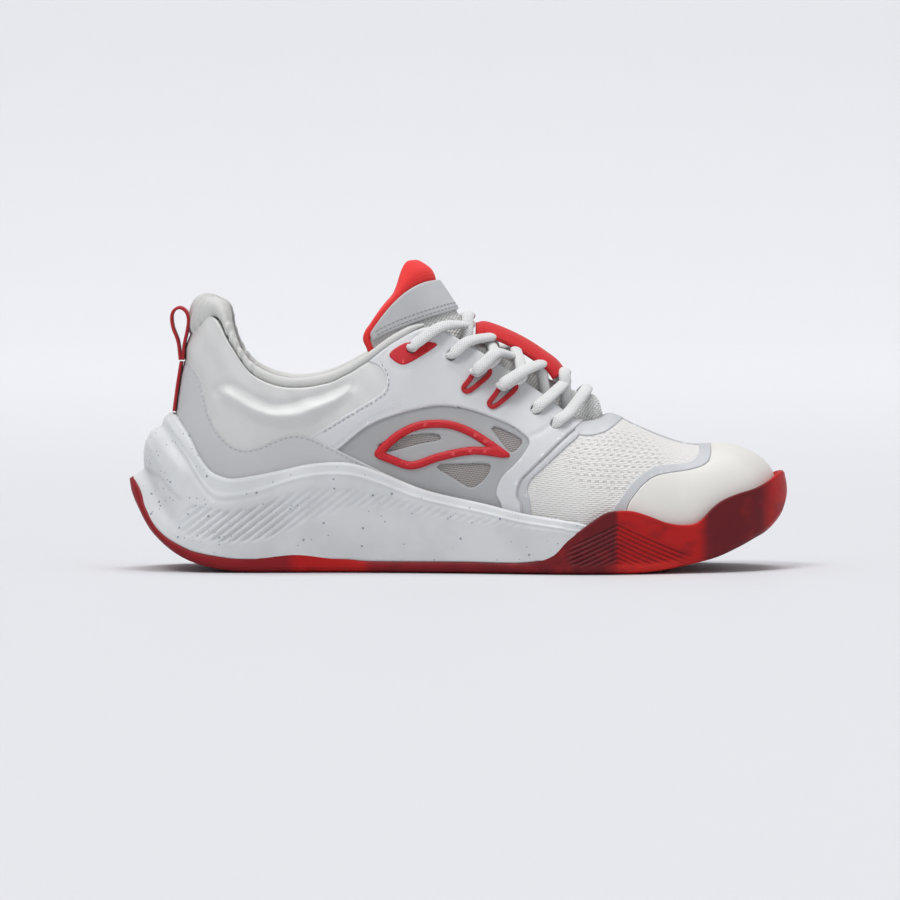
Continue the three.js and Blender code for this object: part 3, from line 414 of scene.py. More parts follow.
def heightOf(line):
    # height along the length, from a side-view line
    points = smoothLine(line, 1.0)
    order = np.maximum.accumulate(points[:, 0])
    return lambda x: np.interp(np.asarray(x) / fit, order, points[:, 1]) * fit


def ease(value, low, high):
    t = np.clip((np.asarray(value, float) - low) / (high - low), 0, 1)
    return t * t * (3 - 2 * t)


def unit(v):
    return v / np.maximum(np.linalg.norm(v, axis=-1, keepdims=True), 1e-9)


# one row for each rib of the last, from the back of the heel to the toe tip:
# foot x, z, half-widths lateral and medial; edge x, z, half-widths; bulge, rise, lean, drop; sole flare
ribs = np.array([
    [-122, 30, 0, 0, -114.6, 108.5, 0, 0, 3, 22, 5, 25, 20.5],
    [-119, 28.5, 11.5, 11, -111, 109.6, 10, 10, 3.5, 22, 5, 25, 18],
    [-111, 27, 21.5, 20.5, -104.3, 107.5, 17.5, 17, 5, 22, 5, 26, 13.5],
    [-100, 26, 27.5, 26, -98.5, 97.5, 23.5, 22.5, 6, 20, 6, 24, 10],
    [-86, 25.5, 29.5, 27.5, -88.7, 84.2, 27.5, 26.5, 6.5, 18, 6, 20, 8],
    [-70, 25, 29.5, 27, -74, 78.6, 29.5, 28, 7, 17, 6, 18, 7.5],
    [-55, 24, 29.5, 26, -57, 80.4, 28.5, 27, 7, 17, 6.5, 18, 7],
    [-40, 22.8, 30, 25.5, -41, 88.5, 25.5, 24.5, 6.5, 18, 8.5, 20, 7],
    [-25, 21.3, 31.5, 26, -27, 98.5, 22, 21, 6, 20, 11, 24, 7],
    [-11, 19.5, 33.5, 27.5, -12, 104.4, 19.5, 19, 5.5, 22, 12.5, 27, 7],
    [4, 17.8, 36, 30, 3, 97.3, 19.5, 19, 5.5, 22, 13, 24, 7],
    [20, 16, 39.5, 34, 19, 87.3, 19.5, 19, 6, 20, 15, 18, 7],
    [36, 14.5, 43, 38.5, 35, 76, 19, 18.5, 7, 18, 17, 13, 7],
    [50, 13.5, 45, 41.5, 49.5, 65.5, 16.5, 16, 8, 15, 20, 8, 7],
    [60, 13, 45.3, 42.8, 59, 64.8, 10.5, 10.5, 8, 14, 25, 5, 6.7],
    [69, 12.7, 44.5, 43, 66, 67.2, 0, 0, 8, 14, 30, 1.5, 6.3],
    [80, 12.6, 42, 42, 76, 62.6, -1, 1, 8, 14, 29, 1, 6],
    [92, 13, 38, 40, 87, 57.9, -1.5, 1.5, 7.5, 14, 27, 0.5, 6],
    [104, 14.6, 33, 37, 97, 54.6, -2, 2, 7, 13.5, 24, 0, 6],
    [115, 17.8, 27, 33, 104, 53.9, -2.5, 2.5, 6, 13, 21, -0.8, 6],
    [124, 22, 20, 28, 108, 54, -3, 3, 5, 12.5, 18, -1.4, 6],
    [131, 26.5, 11.5, 21, 108, 54, -3, 3, 4.2, 12, 18, -1.8, 5.8],
    [135.5, 31, 2.5, 13.5, 108, 54, -3, 3, 3.8, 11.5, 18, -1.8, 5.5],
    [137, 33, -5, 5, 108, 54, -3, 3, 3.5, 11, 18, -1.8, 5.3],
], float)
last = {"columns": 262, "rows": 58, "heelCentre": -92, "toeCentre": 98, "wallStack": 4.7}


def ribValues(u):
    # the rib table between its rows, on a smooth curve
    mirrored = ribs[1].copy()
    mirrored[[2, 3, 6, 7]] *= -1
    table = np.vstack([mirrored, ribs, 2 * ribs[-1] - ribs[-2]])
    low = np.clip(np.floor(u).astype(int), 0, len(ribs) - 2)
    t = (u - low)[:, None]
    a, b, c, d = (table[low + i] for i in range(4))
    return splineAt(a, b, c, d, t)


def wallFrame(side, u):
    r = ribValues(np.atleast_1d(u))
    widths = (-r[:, 2], -r[:, 6]) if side < 0 else (r[:, 3], r[:, 7])
    foot = np.stack([r[:, 0], widths[0], r[:, 1]], 1)
    edge = np.stack([r[:, 4], widths[1], r[:, 5]], 1)
    spine = np.clip(r[:, 0], last["heelCentre"], last["toeCentre"])
    out = unit(np.stack([foot[:, 0] - spine, foot[:, 1], np.zeros(len(spine))], 1))
    low = foot + out * r[:, 8:9] + [0, 0, 1] * r[:, 9:10]
    high = edge + out * r[:, 10:11] - [0, 0, 1] * r[:, 11:12]
    return foot * fit, low * fit, high * fit, edge * fit, out, r


def wallAt(side, u, t):
    foot, low, high, edge, _, _ = wallFrame(side, u)
    t = np.atleast_1d(t)[..., None]
    return foot * (1 - t) ** 3 + 3 * low * t * (1 - t) ** 2 + 3 * high * t ** 2 * (1 - t) + edge * t ** 3


def evenColumns(count):
    fine = np.linspace(0, len(ribs) - 1, 1200)
    foot, _, _, edge, _, _ = wallFrame(medial, fine)
    footSteps, edgeSteps = (np.linalg.norm(np.diff(line, axis=0), axis=1) for line in (foot, edge))
    steps = footSteps + 0.35 * edgeSteps
    length = np.concatenate([[0], np.cumsum(steps)])
    return np.interp(np.linspace(0, length[-1], count), length, fine)


columns = evenColumns(last["columns"])
rows = np.linspace(0, 1, last["rows"])


def gridOf(side):
    return np.stack([wallAt(side, columns, np.full(len(columns), t)) for t in rows], 1)


def meshNormals(points, tris):
    a, b, c = points[tris[:, 0]], points[tris[:, 1]], points[tris[:, 2]]
    face = np.cross(b - a, c - a)
    normal = np.zeros_like(points)
    for k in range(3):
        np.add.at(normal, tris[:, k], face)
    return unit(normal)


def weld(points, tris, grain=1e-3):
    keys = np.round(points[:, :3] / grain).astype(np.int64)
    _, first, index = np.unique(keys, axis=0, return_index=True, return_inverse=True)
    tris = index.reshape(-1)[tris]
    keep = (tris[:, 0] != tris[:, 1]) & (tris[:, 1] != tris[:, 2]) & (tris[:, 2] != tris[:, 0])
    return points[first], tris[keep]


def gridTris(countA, countB, flip=False):
    a = (np.arange(countA - 1)[:, None] * countB + np.arange(countB - 1)[None]).ravel()
    first, second = np.stack([a, a + countB, a + countB + 1], 1), np.stack([a, a + countB + 1, a + 1], 1)
    tris = np.vstack([first, second])
    return tris[:, ::-1] if flip else tris


def buildBase():
    # the upper's outer face: place, pattern coordinates and side of every point
    parts, tris, start = [], [], 0
    for side in (lateral, medial):
        grid = gridOf(side)
        along = np.linalg.norm(np.diff(grid[:, 10], axis=0), axis=1)
        along = np.concatenate([[0], np.cumsum(along)])[:, None] * np.ones(len(rows))
        up = np.concatenate([np.zeros((len(columns), 1)),
                             np.cumsum(np.linalg.norm(np.diff(grid, axis=1), axis=2), 1)], 1)
        t = np.ones(len(columns))[:, None] * rows
        u = columns[:, None] * np.ones(len(rows))
        flat = np.concatenate([grid, along[..., None], up[..., None], u[..., None], t[..., None],
                               np.full(grid.shape[:2] + (1,), side)], 2).reshape(-1, 8)
        parts.append(flat)
        tris.append(gridTris(len(columns), len(rows), flip=side > 0) + start)
        start += len(flat)
    return weld(np.vstack(parts), np.vstack(tris))


baseRows, baseTris = buildBase()
baseNormals = meshNormals(baseRows[:, :3], baseTris)
outward = baseNormals[:, 1] * np.sign(baseRows[:, 1] + 1e-6)
if np.median(outward) < 0:
    baseTris = baseTris[:, ::-1]
    baseNormals = -baseNormals
# the ridge ends over the toes in a fold a fraction of a millimetre long, whose normals are set straight
folded = (baseRows[:, 0] > 105) & (baseRows[:, 2] > 52) & (baseNormals[:, 2] < 0.7)
baseNormals[folded] = unit(np.array([0.15, 0, 1.0]))
baseRows = np.hstack([baseRows, baseNormals])       # columns 8, 9, 10 hold the normal
sideOfTri = np.where(baseRows[baseTris, 7].mean(1) < 0, lateral, medial)
basePoints = [tuple(p) for p in baseRows[:, :3]]
shells = {side: BVHTree.FromPolygons(basePoints, [tuple(t) for t in baseTris[sideOfTri == side]])
          for side in (lateral, medial)}
print("upper surface", len(baseTris), "faces")


def nearWall(side, x, z):
    # the wall's point and outward normal at a side-view place
    hit, normal, _, _ = shells[side].ray_cast(Vector((x, side * 200, z)), Vector((0, -side, 0)))
    if hit is None:
        hit, normal, _, _ = shells[side].find_nearest(Vector((x, side * 10, z)))
    point = np.array(hit)
    normal = np.array(normal)
    probe = np.array([point[0] - np.clip(point[0], -92, 98), point[1], max(0.0, point[2] - 60) * 0.3])
    return point, normal if normal @ probe > 0 else -normal


def outlineField(outline, rows=None):
    # distance along the surface to a side-view outline, negative inside
    rows = baseRows if rows is None else rows
    line = np.asarray(outline, float)
    start, end = line, np.roll(line, -1, 0)
    spot = rows[:, [0, 2]]
    best = np.full(len(spot), 1e9)
    nearest = np.zeros_like(spot)
    inside = np.zeros(len(spot), bool)
    for a, b in zip(start, end):
        way = b - a
        if way @ way < 1e-9:
            continue
        t = np.clip(((spot - a) @ way) / (way @ way), 0, 1)
        foot = a + t[:, None] * way
        gap = ((spot - foot) ** 2).sum(1)
        closer = gap < best
        best[closer] = gap[closer]
        nearest[closer] = foot[closer]
        if a[1] != b[1]:
            crosses = (a[1] > spot[:, 1]) != (b[1] > spot[:, 1])
            inside ^= crosses & (spot[:, 0] < a[0] + (spot[:, 1] - a[1]) / (b[1] - a[1]) * (b[0] - a[0]))
    gap = np.sqrt(best)
    way = unit(spot - nearest)
    normal = rows[:, 8:11]
    dot = way[:, 0] * normal[:, 0] + way[:, 1] * normal[:, 2]
    gap = gap / np.sqrt(np.clip(1 - dot ** 2, 0.12, 1))
    return np.where(inside, -gap, gap)


def lineField(line, rows):
    # plain side-view distance to an open line
    spot = rows[:, [0, 2]]
    best = np.full(len(spot), 1e9)
    for a, b in zip(line[:-1], line[1:]):
        way = b - a
        t = np.clip(((spot - a) @ way) / max(way @ way, 1e-9), 0, 1)
        best = np.minimum(best, ((spot - a - t[:, None] * way) ** 2).sum(1))
    return np.sqrt(best)


def cutAt(rows, tris, values, level):
    # splits every face that a level of the values crosses
    values = np.where(np.abs(values - level) < 0.04, level, values)
    above = values > level
    below = values < level
    crossing = above[tris].any(1) & below[tris].any(1)
    plain, odd = tris[~crossing], tris[crossing]
    flag = above[odd]
    lone = np.where(flag.sum(1) == 1, flag.argmax(1), (~flag).argmax(1))
    pick = np.arange(len(odd))
    a, b, c = odd[pick, lone], odd[pick, (lone + 1) % 3], odd[pick, (lone + 2) % 3]
    pairs = np.sort(np.concatenate([np.stack([a, b], 1), np.stack([a, c], 1)]), axis=1)
    edges, index = np.unique(pairs, axis=0, return_inverse=True)
    index = index.reshape(-1)
    gap = values[edges[:, 1]] - values[edges[:, 0]]
    share = np.clip((level - values[edges[:, 0]]) / np.where(np.abs(gap) < 1e-9, 1, gap), 0, 1)
    fresh = rows[edges[:, 0]] + share[:, None] * (rows[edges[:, 1]] - rows[edges[:, 0]])
    ab, ac = len(rows) + index[:len(odd)], len(rows) + index[len(odd):]
    tris = np.vstack([plain, np.stack([a, ab, ac], 1), np.stack([ab, b, c], 1), np.stack([ab, c, ac], 1)])
    return np.vstack([rows, fresh]), tris, np.concatenate([values, np.full(len(fresh), level)])


def compact(rows, tris, *more):
    used, index = np.unique(tris, return_inverse=True)
    return (rows[used], index.reshape(-1, 3), *[m[used] for m in more])


def closeSheet(top, bottom, tris):
    # a sheet's two faces joined by a skirt round every open edge
    edges = np.vstack([tris[:, [0, 1]], tris[:, [1, 2]], tris[:, [2, 0]]])
    code = edges[:, 0].astype(np.int64) * len(top) + edges[:, 1]
    back = edges[:, 1].astype(np.int64) * len(top) + edges[:, 0]
    rim = edges[~np.isin(code, back)]
    n = len(top)
    skirt = np.vstack([np.stack([rim[:, 1], rim[:, 0], rim[:, 0] + n], 1),
                       np.stack([rim[:, 1], rim[:, 0] + n, rim[:, 1] + n], 1)])
    return np.vstack([top, bottom]), np.vstack([tris, tris[:, ::-1] + n, skirt])


def makeObject(name, points, tris, material, cloth=None):
    mesh = bpy.data.meshes.new(name)
    mesh.vertices.add(len(points))
    mesh.vertices.foreach_set("co", (np.asarray(points, float) * mm).ravel())
    mesh.loops.add(len(tris) * 3)
    mesh.loops.foreach_set("vertex_index", np.asarray(tris).ravel().astype(np.int32))
    mesh.polygons.add(len(tris))
    mesh.polygons.foreach_set("loop_start", np.arange(len(tris), dtype=np.int32) * 3)
    mesh.polygons.foreach_set("use_smooth", np.full(len(tris), True))
    mesh.update(calc_edges=True)
    mesh.validate()
    if cloth is not None:
        layer = mesh.uv_layers.new(name="UVMap")
        layer.data.foreach_set("uv", (np.asarray(cloth)[tris.ravel()] * mm).ravel())
    mesh.materials.append(materials[material])
    piece = bpy.data.objects.new(name, mesh)
    bpy.context.scene.collection.objects.link(piece)
    return piece


def settle(piece, nodes, body="root", blendTo=None):
    # puts a finished piece on its body, or leaves it without a body, its placement baked in
    if blendTo:
        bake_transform(piece)
    else:
        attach(piece, body)
    if nodes:
        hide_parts(*nodes)
    return piece


def panel(name, inside, layer, side=0, relief=None, blendTo=None):
    # a layer of the upper: cut out of the wall, rounded at its edge and given its thickness
    outer, inner, edge = layer["outer"], layer["inner"], layer["edge"]
    tris = baseTris if side == 0 else baseTris[sideOfTri == side]
    rows, tris, inside = compact(baseRows, tris, inside)
    near = inside < 6
    keep = near[tris].any(1)
    rows, tris, inside = compact(rows, tris[keep], inside)
    for level in (0.0, -0.25 * edge, -0.6 * edge, -edge):
        rows, tris, inside = cutAt(rows, tris, inside, level)
        if level == 0.0:
            rows, tris, inside = compact(rows, tris[(inside[tris] <= 1e-6).all(1)], inside)
    depth = np.clip(-inside / edge, 0, 1)
    crown = min(edge, outer - inner) * (1 - np.sqrt(1 - (1 - depth) ** 2))
    height = outer - crown
    if relief is not None:
        height = height + relief(rows, -inside)
    normal = unit(rows[:, 8:11])
    top, bottom = rows[:, :3] + normal * height[:, None], rows[:, :3] + normal * inner
    points, faces = closeSheet(top, bottom, tris)
    cloth = np.vstack([rows[:, 3:5], rows[:, 3:5]])
    piece = makeObject(name, points, faces, layer["look"], cloth=cloth)
    return settle(piece, [name], blendTo=blendTo)


# side-view outlines of the panels
far = {"heel": -165, "toe": 165, "ground": 4, "top": 160}
foxingEdge = smoothLine([[-116, 89.5], [-114.3, 87.1], [-110.9, 82.8], [-108.5, 75.1], [-106.1, 66.4],
                         [-102.3, 59.6], [-97.4, 54.8], [-91.6, 52.8], [-84.9, 54.3], [-77.1, 57.7],
                         [-70.4, 59.2], [-64.6, 58.2], [-56.9, 54.8], [-40.5, 46.6], [-28, 40.5],
[-22, 37.5]])
quarterRear = smoothLine([[-44, 90.5], [-42.4, 90], [-37.6, 89.4], [-33.8, 87.2], [-31.8, 83.3],
                          [-31.8, 78.9], [-34.2, 75.9], [-50.1, 66.4], [-64.6, 57.5], [-76, 50]])
quarterFront = smoothLine([[27.5, 10], [26.2, 27.9], [24.7, 31.4], [24.7, 35.7], [26.4, 40], [30.7, 44.4],
                           [43.7, 56.5], [50.2, 61.7], [56, 66.5]])
tapeInner = smoothLine([[32, 10], [30.3, 30.1], [29, 34.4], [29.9, 38.7], [32.9, 42.2], [45, 53], [51, 57.9]])
throatLow = smoothLine([[50, 59.2], [54, 58.6], [58.3, 58.9], [63.6, 60.5], [68.9, 63.9], [72, 66]])
toeRear = smoothLine([[64, 10], [65.9, 26.8], [68.9, 32.1], [73.5, 38], [79.5, 43.2], [86.1, 45.8],
                      [95.4, 46.2], [101, 47.8], [103.6, 51.3], [103.8, 56]])
toeFront = smoothLine([[69.6, 10], [71.5, 26.8], [75.5, 34.1], [80.8, 39.4], [86.8, 42], [100, 43.9],
                       [106.4, 46.2], [108.6, 50], [109, 57]])
windowArch = smoothLine([[-56, 49.5], [-51.1, 53], [-39.1, 62.5], [-26.7, 67.5], [-16.9, 70], [-8.2, 71.2],
                         [1.7, 70.2], [11.6, 67.2], [21.6, 63.2], [27.5, 59.2], [30, 56.3], [28.5, 52.3],
                         [23.6, 46.3], [18.6, 41.4], [16.1, 36.4], [16.1, 32.5], [18.5, 27], [22, 10]])
windows = [smoothLine(w, 0.8, closed=True) for w in (
    [[-34.6, 54.1], [-27.7, 57.2], [-20.3, 58.9], [-12.5, 59.5], [-7.6, 58.4], [-9.1, 56.7], [-17, 55.1],
     [-28.6, 52.1], [-33.5, 52.4]],
    [[13.8, 62.0], [15.4, 62.6], [21, 60.5], [26, 57.8], [26.8, 55.6], [22.9, 51.9], [20.6, 53],
    [16.9, 57.8]], [[-9.3, 44.8], [-7.5, 46.3], [2, 46.6], [11.7, 46.7], [13.1, 44.8], [11.3, 41.3],
     [8.2, 37.9], [4.8, 36.4], [1.3, 38], [-3.9, 41.3]])]
badgeRing = smoothLine([[-36.5, 50.3], [-29.5, 46.4], [-20, 43.8], [-8, 47.6], [6, 50.4], [19, 49.2],
                        [22, 50.6], [17, 54.5], [11, 58.6], [4.8, 62.1], [-1.7, 64.5], [-8.2, 65.4],
                        [-16.9, 64.7], [-24.2, 61.9], [-30.5, 57.5]], 1.0, closed=True)
patchShape = smoothLine([[-30, 92.2], [-27.5, 95.4], [-20.6, 98.4], [-11.2, 97.9], [-9.8, 96.3],
                         [-20.5, 89.6], [-25.2, 88.6]], 0.8, closed=True)
pillowTop = [[-103, 77], [-101.3, 78.9], [-98.2, 79.2], [-94.5, 77.7], [-86.8, 73.1], [-79.1, 70.7],
             [-71.4, 71.2], [-63.6, 73.6], [-55.9, 75.9], [-49.3, 79], [-46.5, 79.5]]
pillowLow = [[-46, 76], [-51.5, 70.3], [-57.8, 66.4], [-64.6, 63], [-73.3, 61.5], [-82.9, 62.5],
             [-92.6, 66.4], [-100.4, 72.5]]
pillow = smoothLine(pillowTop + pillowLow, 1.0, closed=True)


def joined(*runs):
    return np.vstack([np.asarray(r, float).reshape(-1, 2) for r in runs])


arch = joined(windowArch, [[-20, far["ground"]], [-70, far["ground"]], [-70, 45]])
foxingArea = joined([[far["heel"], 88.5]], foxingEdge, [[-16, far["ground"]], [far["heel"], far["ground"]]])
collarTop = [[far["heel"], 100.5], [-115.5, 101], [-111, 104], [-106.5, 109.5], [-103, far["top"]]]
collarArea = joined(collarTop, [[-45, far["top"]]], quarterRear,
                    [[-80, far["ground"]], [far["heel"], far["ground"]]])
quarterArea = joined([[-45, far["top"]]], quarterRear, [[-76, far["ground"]]], quarterFront,
                     [[60, far["top"]]])
eyelets = [
    {"x": 41.5, "z": 63.4, "kind": "hole"},
    {"x": 32.9, "z": 69.4, "kind": "hole", "crossing": 46},
    {"x": 19, "z": 78.5, "kind": "loop", "crossing": 36},
    {"x": 8, "z": 85, "kind": "loop", "crossing": 25},
    {"x": -3.5, "z": 92.4, "kind": "hole", "crossing": 14},
    {"x": -20.3, "z": 95.4, "kind": "patch", "crossing": 4},
]


def holeField(radius):
    # stands above zero inside every punched hole
    values = np.full(len(baseRows), -9.0)
    for e in eyelets:
        if e["kind"] != "loop":
            gap = np.hypot(baseRows[:, 0] - e["x"], baseRows[:, 2] - e["z"])
            values = np.maximum(values, radius - gap)
    return values


def groove(distance, width, depth):
    return -depth * np.exp(-(distance / width) ** 2)


print("fields")
field = {
    "foxing": outlineField(foxingArea), "collar": outlineField(collarArea),
    "quarter": outlineField(quarterArea),
    "arch": outlineField(arch), "rearTape": outlineField(joined(quarterFront, tapeInner[::-1])),
    "toeTape": outlineField(joined(toeRear, toeFront[::-1])),
    "toe": outlineField(joined(toeFront, [[far["toe"], far["top"]], [far["toe"], far["ground"]]])),
    "throat": outlineField(joined([[50, 90]], throatLow, [[72, 90]])),
    "windows": [outlineField(w) for w in windows],
}
field["punched"] = holeField(2.1)
film = {"overlap": 1.6, "edge": 0.85}


def collarRelief(rows, inset):
    inPillow = -outlineField(pillow, rows)
    rise = 3.0 * ease(inPillow, -1.2, 6.0)
    upper = lineField(smoothLine(pillowTop), rows)
    crease = groove(upper - 1.0, 1.5, 0.7) * ease(rows[:, 2], 60, 72)
    puff = 1.1 * ease(inset, 0, 9) * ease(rows[:, 0], -52, -66)
    ripple = 0.18 * np.sin(rows[:, 0] * 0.55 + rows[:, 2] * 0.35) * ease(rows[:, 6], 0.6, 0.85)
    return rise + crease + puff + ripple


def quarterRelief(rows, inset):
    stitched = groove(inset - 1.5, 0.6, 0.3) * (rows[:, 0] < -25)
    channel = lineField(smoothLine([[54.5, 74.6], [49, 70], [43.7, 66.3], [36, 60.5], [31, 58.2]]), rows)
    patchEdge = outlineField(patchShape, rows)
    return stitched + groove(channel, 0.9, 0.45) + groove(patchEdge - 1.8, 0.8, 0.35)


def tapeRelief(rows, inset):
    return groove(lineField(quarterFront, rows), 0.75, 0.85)


def foxingRelief(rows, inset):
    return groove(inset - 1.4, 0.6, 0.35) + 0.25 * ease(inset, 2, 10)


# faces of each layer, measured out from the wall, and how far in its edge is rounded
layers = {
    "collar_panel": {"outer": 0.0, "inner": -1.3, "edge": 0.85, "look": "collar_film"},
    "quarter": {"outer": 0.45, "inner": -0.85, "edge": 0.85, "look": "upper_film"},
    "side_tape": {"outer": -0.2, "inner": -1.25, "edge": 0.5, "look": "grey_tape"},
    "window_panel": {"outer": -0.75, "inner": -1.7, "edge": 0.9, "look": "grey_panel"},
    "quarter_mesh": {"outer": -1.9, "inner": -2.6, "edge": 0.5, "look": "dark_mesh"},
    "side_badge": {"outer": 0.85, "inner": -1.2, "edge": 1.8, "look": "badge", "width": 3.7},
    "eyelet_patch": {"outer": 0.95, "inner": 0.1, "edge": 0.6, "look": "badge"},
    # the heel foxing is the upper's film, worn here as a darker copy of it: painted shade
    "heel_foxing": {"outer": 0.95, "inner": -0.9, "edge": 1.0, "look": "shaded_upper_film", "slot": "upper_film"},
    "throat_tape": {"outer": -0.3, "inner": -1.2, "edge": 0.5, "look": "grey_tape"},
    "toe_tape": {"outer": -0.2, "inner": -1.2, "edge": 0.5, "look": "grey_tape"},
    "toe_cap": {"outer": -0.35, "inner": -1.3, "edge": 0.5, "look": "toe_film"},
    "vamp_mesh": {"outer": -0.85, "inner": -1.7, "edge": 0.5, "look": "white_mesh"},
    "lining": {"outer": -3.4, "inner": -4.5, "edge": 0.5, "look": "lining_cloth"},
}
for side, word in sideNames.items():
    underFoxing = -field["foxing"] - 4
    panel(f"collar_panel_{word}", np.maximum(field["collar"] - film["overlap"], underFoxing),
          layers["collar_panel"], side, collarRelief)
    openArea = np.maximum(np.maximum(field["quarter"], -field["arch"]), field["punched"])
    panel(f"quarter_{word}", np.maximum(openArea, underFoxing), layers["quarter"], side, quarterRelief)
    panel(f"side_tape_{word}", field["rearTape"], layers["side_tape"], side, tapeRelief)
    holes = np.max([-w for w in field["windows"]], 0)
    panel(f"window_panel_{word}", np.maximum(field["arch"] - 2, holes), layers["window_panel"], side)
    panel(f"quarter_mesh_{word}", field["arch"] - 1, layers["quarter_mesh"], side)
    ring = outlineField(badgeRing)
    panel(f"side_badge_{word}", np.maximum(ring, -ring - layers["side_badge"]["width"]),
          layers["side_badge"], side)
    panel(f"eyelet_patch_{word}", np.maximum(outlineField(patchShape), field["punched"]),
          layers["eyelet_patch"], side)
panel("heel_foxing", field["foxing"], layers["heel_foxing"], relief=foxingRelief)
# a narrow spine of tape runs from the throat over the middle of the toes
lengthwise, acrossMiddle, height = baseRows[:, 0], np.abs(baseRows[:, 1] - 1.2), baseRows[:, 2]
spine = np.maximum(acrossMiddle - 1.7, np.maximum(64 - lengthwise, lengthwise - 106))
spine = np.maximum(spine, 40 - height)
throatBand = np.maximum(np.minimum(field["throat"], spine), lengthwise - 107)
vampLimit = np.maximum(quarterFront[0][0] - 8 - lengthwise, -field["quarter"] - 5)
vampLimit = np.maximum(vampLimit, field["punched"])
vamp = np.maximum(np.maximum(vampLimit, -field["toe"] - 4), -field["arch"] - 4)
everywhere = np.full(len(baseRows), -9.0)
for name, inside in (("throat_tape", throatBand), ("toe_tape", field["toeTape"]), ("toe_cap", field["toe"]),
                     ("vamp_mesh", vamp), ("lining", np.maximum(everywhere, field["punched"]))):
    panel(name, inside, layers[name], blendTo="forefoot")
print("upper panels done")

# sole
sole = {
    "columns": 560, "wallRowsRubber": 40, "wallRowsFoam": 52, "rubber": 5.5, "cupWall": 5.0, "foamWall": 3.6,
    "fluteAngle": 38, "flutePitch": 2.75, "fluteDepth": 1.2, "fanCentre": 67.5, "fanPitch": 2.0,
    "fanDepth": 0.8,
}
treadOf = heightOf([[-142.5, 37.7], [-141.7, 32.8], [-138.4, 26.1], [-133.4, 17.8], [-126.8, 11.2],
                    [-119.4, 6.2], [-111, 2.9], [-100.3, 0.7], [-89, 0], [-60, 0], [0, 0], [60, 0], [76, 0.1],
                    [88.7, 1.5], [102.5, 4.2], [111, 6.4], [120, 10.2], [126.8, 13.6], [132.8, 16.8],
                    [138.8, 22.5], [141.8, 28.5], [143, 34.4]])
soleTopOf = heightOf([[-142.5, 39.5], [-139.2, 34.4], [-136.7, 27.8], [-132.6, 21.2], [-126.8, 15.4],
                      [-119.4, 11.2], [-111.1, 8.3], [-95.4, 6.2], [-83.8, 7.1], [-70, 8.9], [-57.3, 7.1],
                      [-47.3, 5.8], [-35.7, 5], [0, 5.1], [26.1, 5], [36.5, 7.1], [43.4, 12.5], [51.4, 18.5],
                      [61.3, 25.5], [67.3, 27], [74.3, 26.7], [81.2, 24.5], [89.1, 21.5], [97.1, 20.5],
                      [103, 22], [109, 27.5], [114, 30.9], [120.9, 33.4], [128.9, 35.4], [134.8, 37.9],
                      [139.8, 41], [143, 42]])
foamTopOf = heightOf([[-150, 68], [-126, 67.9], [-121, 66.7], [-117.7, 62.5], [-113.6, 55.9], [-110.3, 49.3],
                      [-106.1, 43.5], [-102, 41], [-97, 39.8], [-88.7, 41], [-76.3, 43.5], [-63.9, 46.2],
                      [-51.5, 47], [-42.4, 45.6], [-30.8, 41.5], [-13.4, 34.8], [10.9, 29.4], [26.1, 25.7],
                      [44.3, 22.7], [53.4, 20.9], [58, 17.5], [63, 13], [160, 12]])
creaseOf = heightOf([[-150, 64], [-130, 62.5], [-124, 58], [-118, 50], [-112, 40], [-107, 33.5], [-102, 31.1],
                     [-88.7, 32.8], [-72.2, 38.6], [-59.8, 41], [-47.3, 41], [-34.9, 37.7], [-16.9, 31.2],
                     [10.9, 25], [26.1, 21.5], [44.3, 18.8], [53.4, 17.5], [160, 10]])
fluteTopOf = heightOf([[-150, 20], [-120, 27], [-113.8, 29.2], [-99.1, 27], [-86.1, 29.2], [-68.8, 35.3],
                       [-51.5, 36.6], [-25.5, 32.5], [-3.9, 27.5], [26.4, 21.9], [43.7, 19.5], [160, 10]])
fluteLowOf = heightOf([[-150, 20], [-116.4, 14.5], [-103.4, 11.9], [-86.1, 12.8], [-73.1, 17.1],
                       [-60.1, 22.7], [-42.8, 27], [-25.5, 26], [-3.9, 22], [26.4, 18.6], [43.7, 18],
[160, 12]])
heelShape = np.array([[0, 0], [0.09, 0.16], [0.17, 0.38], [0.22, 0.41], [0.41, 0.40], [0.58, 0.455],
                      [0.726, 0.59], [0.81, 0.79], [0.93, 0.85], [1, 1]])
heelPad = smoothLine([[-140, 46], [-140, 64], [-127.6, 60.9], [-121.8, 52.6], [-117.7, 44.4], [-116.3, 36.1],
                      [-118.5, 30.5], [-123, 33], [-129, 39.5]], 1.0, closed=True)


class SoleSide:
    # one half of the sole's plan: everything measured outwards from the foot line
    def __init__(self, side, cols):
        self.foot, _, _, _, self.out, r = wallFrame(side, cols)
        self.flare = r[:, 12]
        self.side = side
        self.wall = np.stack([wallAt(side, cols, np.full(len(cols), t)) for t in np.linspace(0, 1, 60)], 1)

    def place(self, reach, z):
        p = self.foot + self.out * np.asarray(reach)[:, None]
        p[:, 2] = z
        return p

    def wallReach(self, z):
        z = np.broadcast_to(z, len(self.foot))
        hit = np.array([[np.interp(z[i], w[:, 2], w[:, k]) for k in (0, 1)] for i, w in enumerate(self.wall)])
        return ((hit - self.foot[:, :2]) * self.out[:, :2]).sum(1)


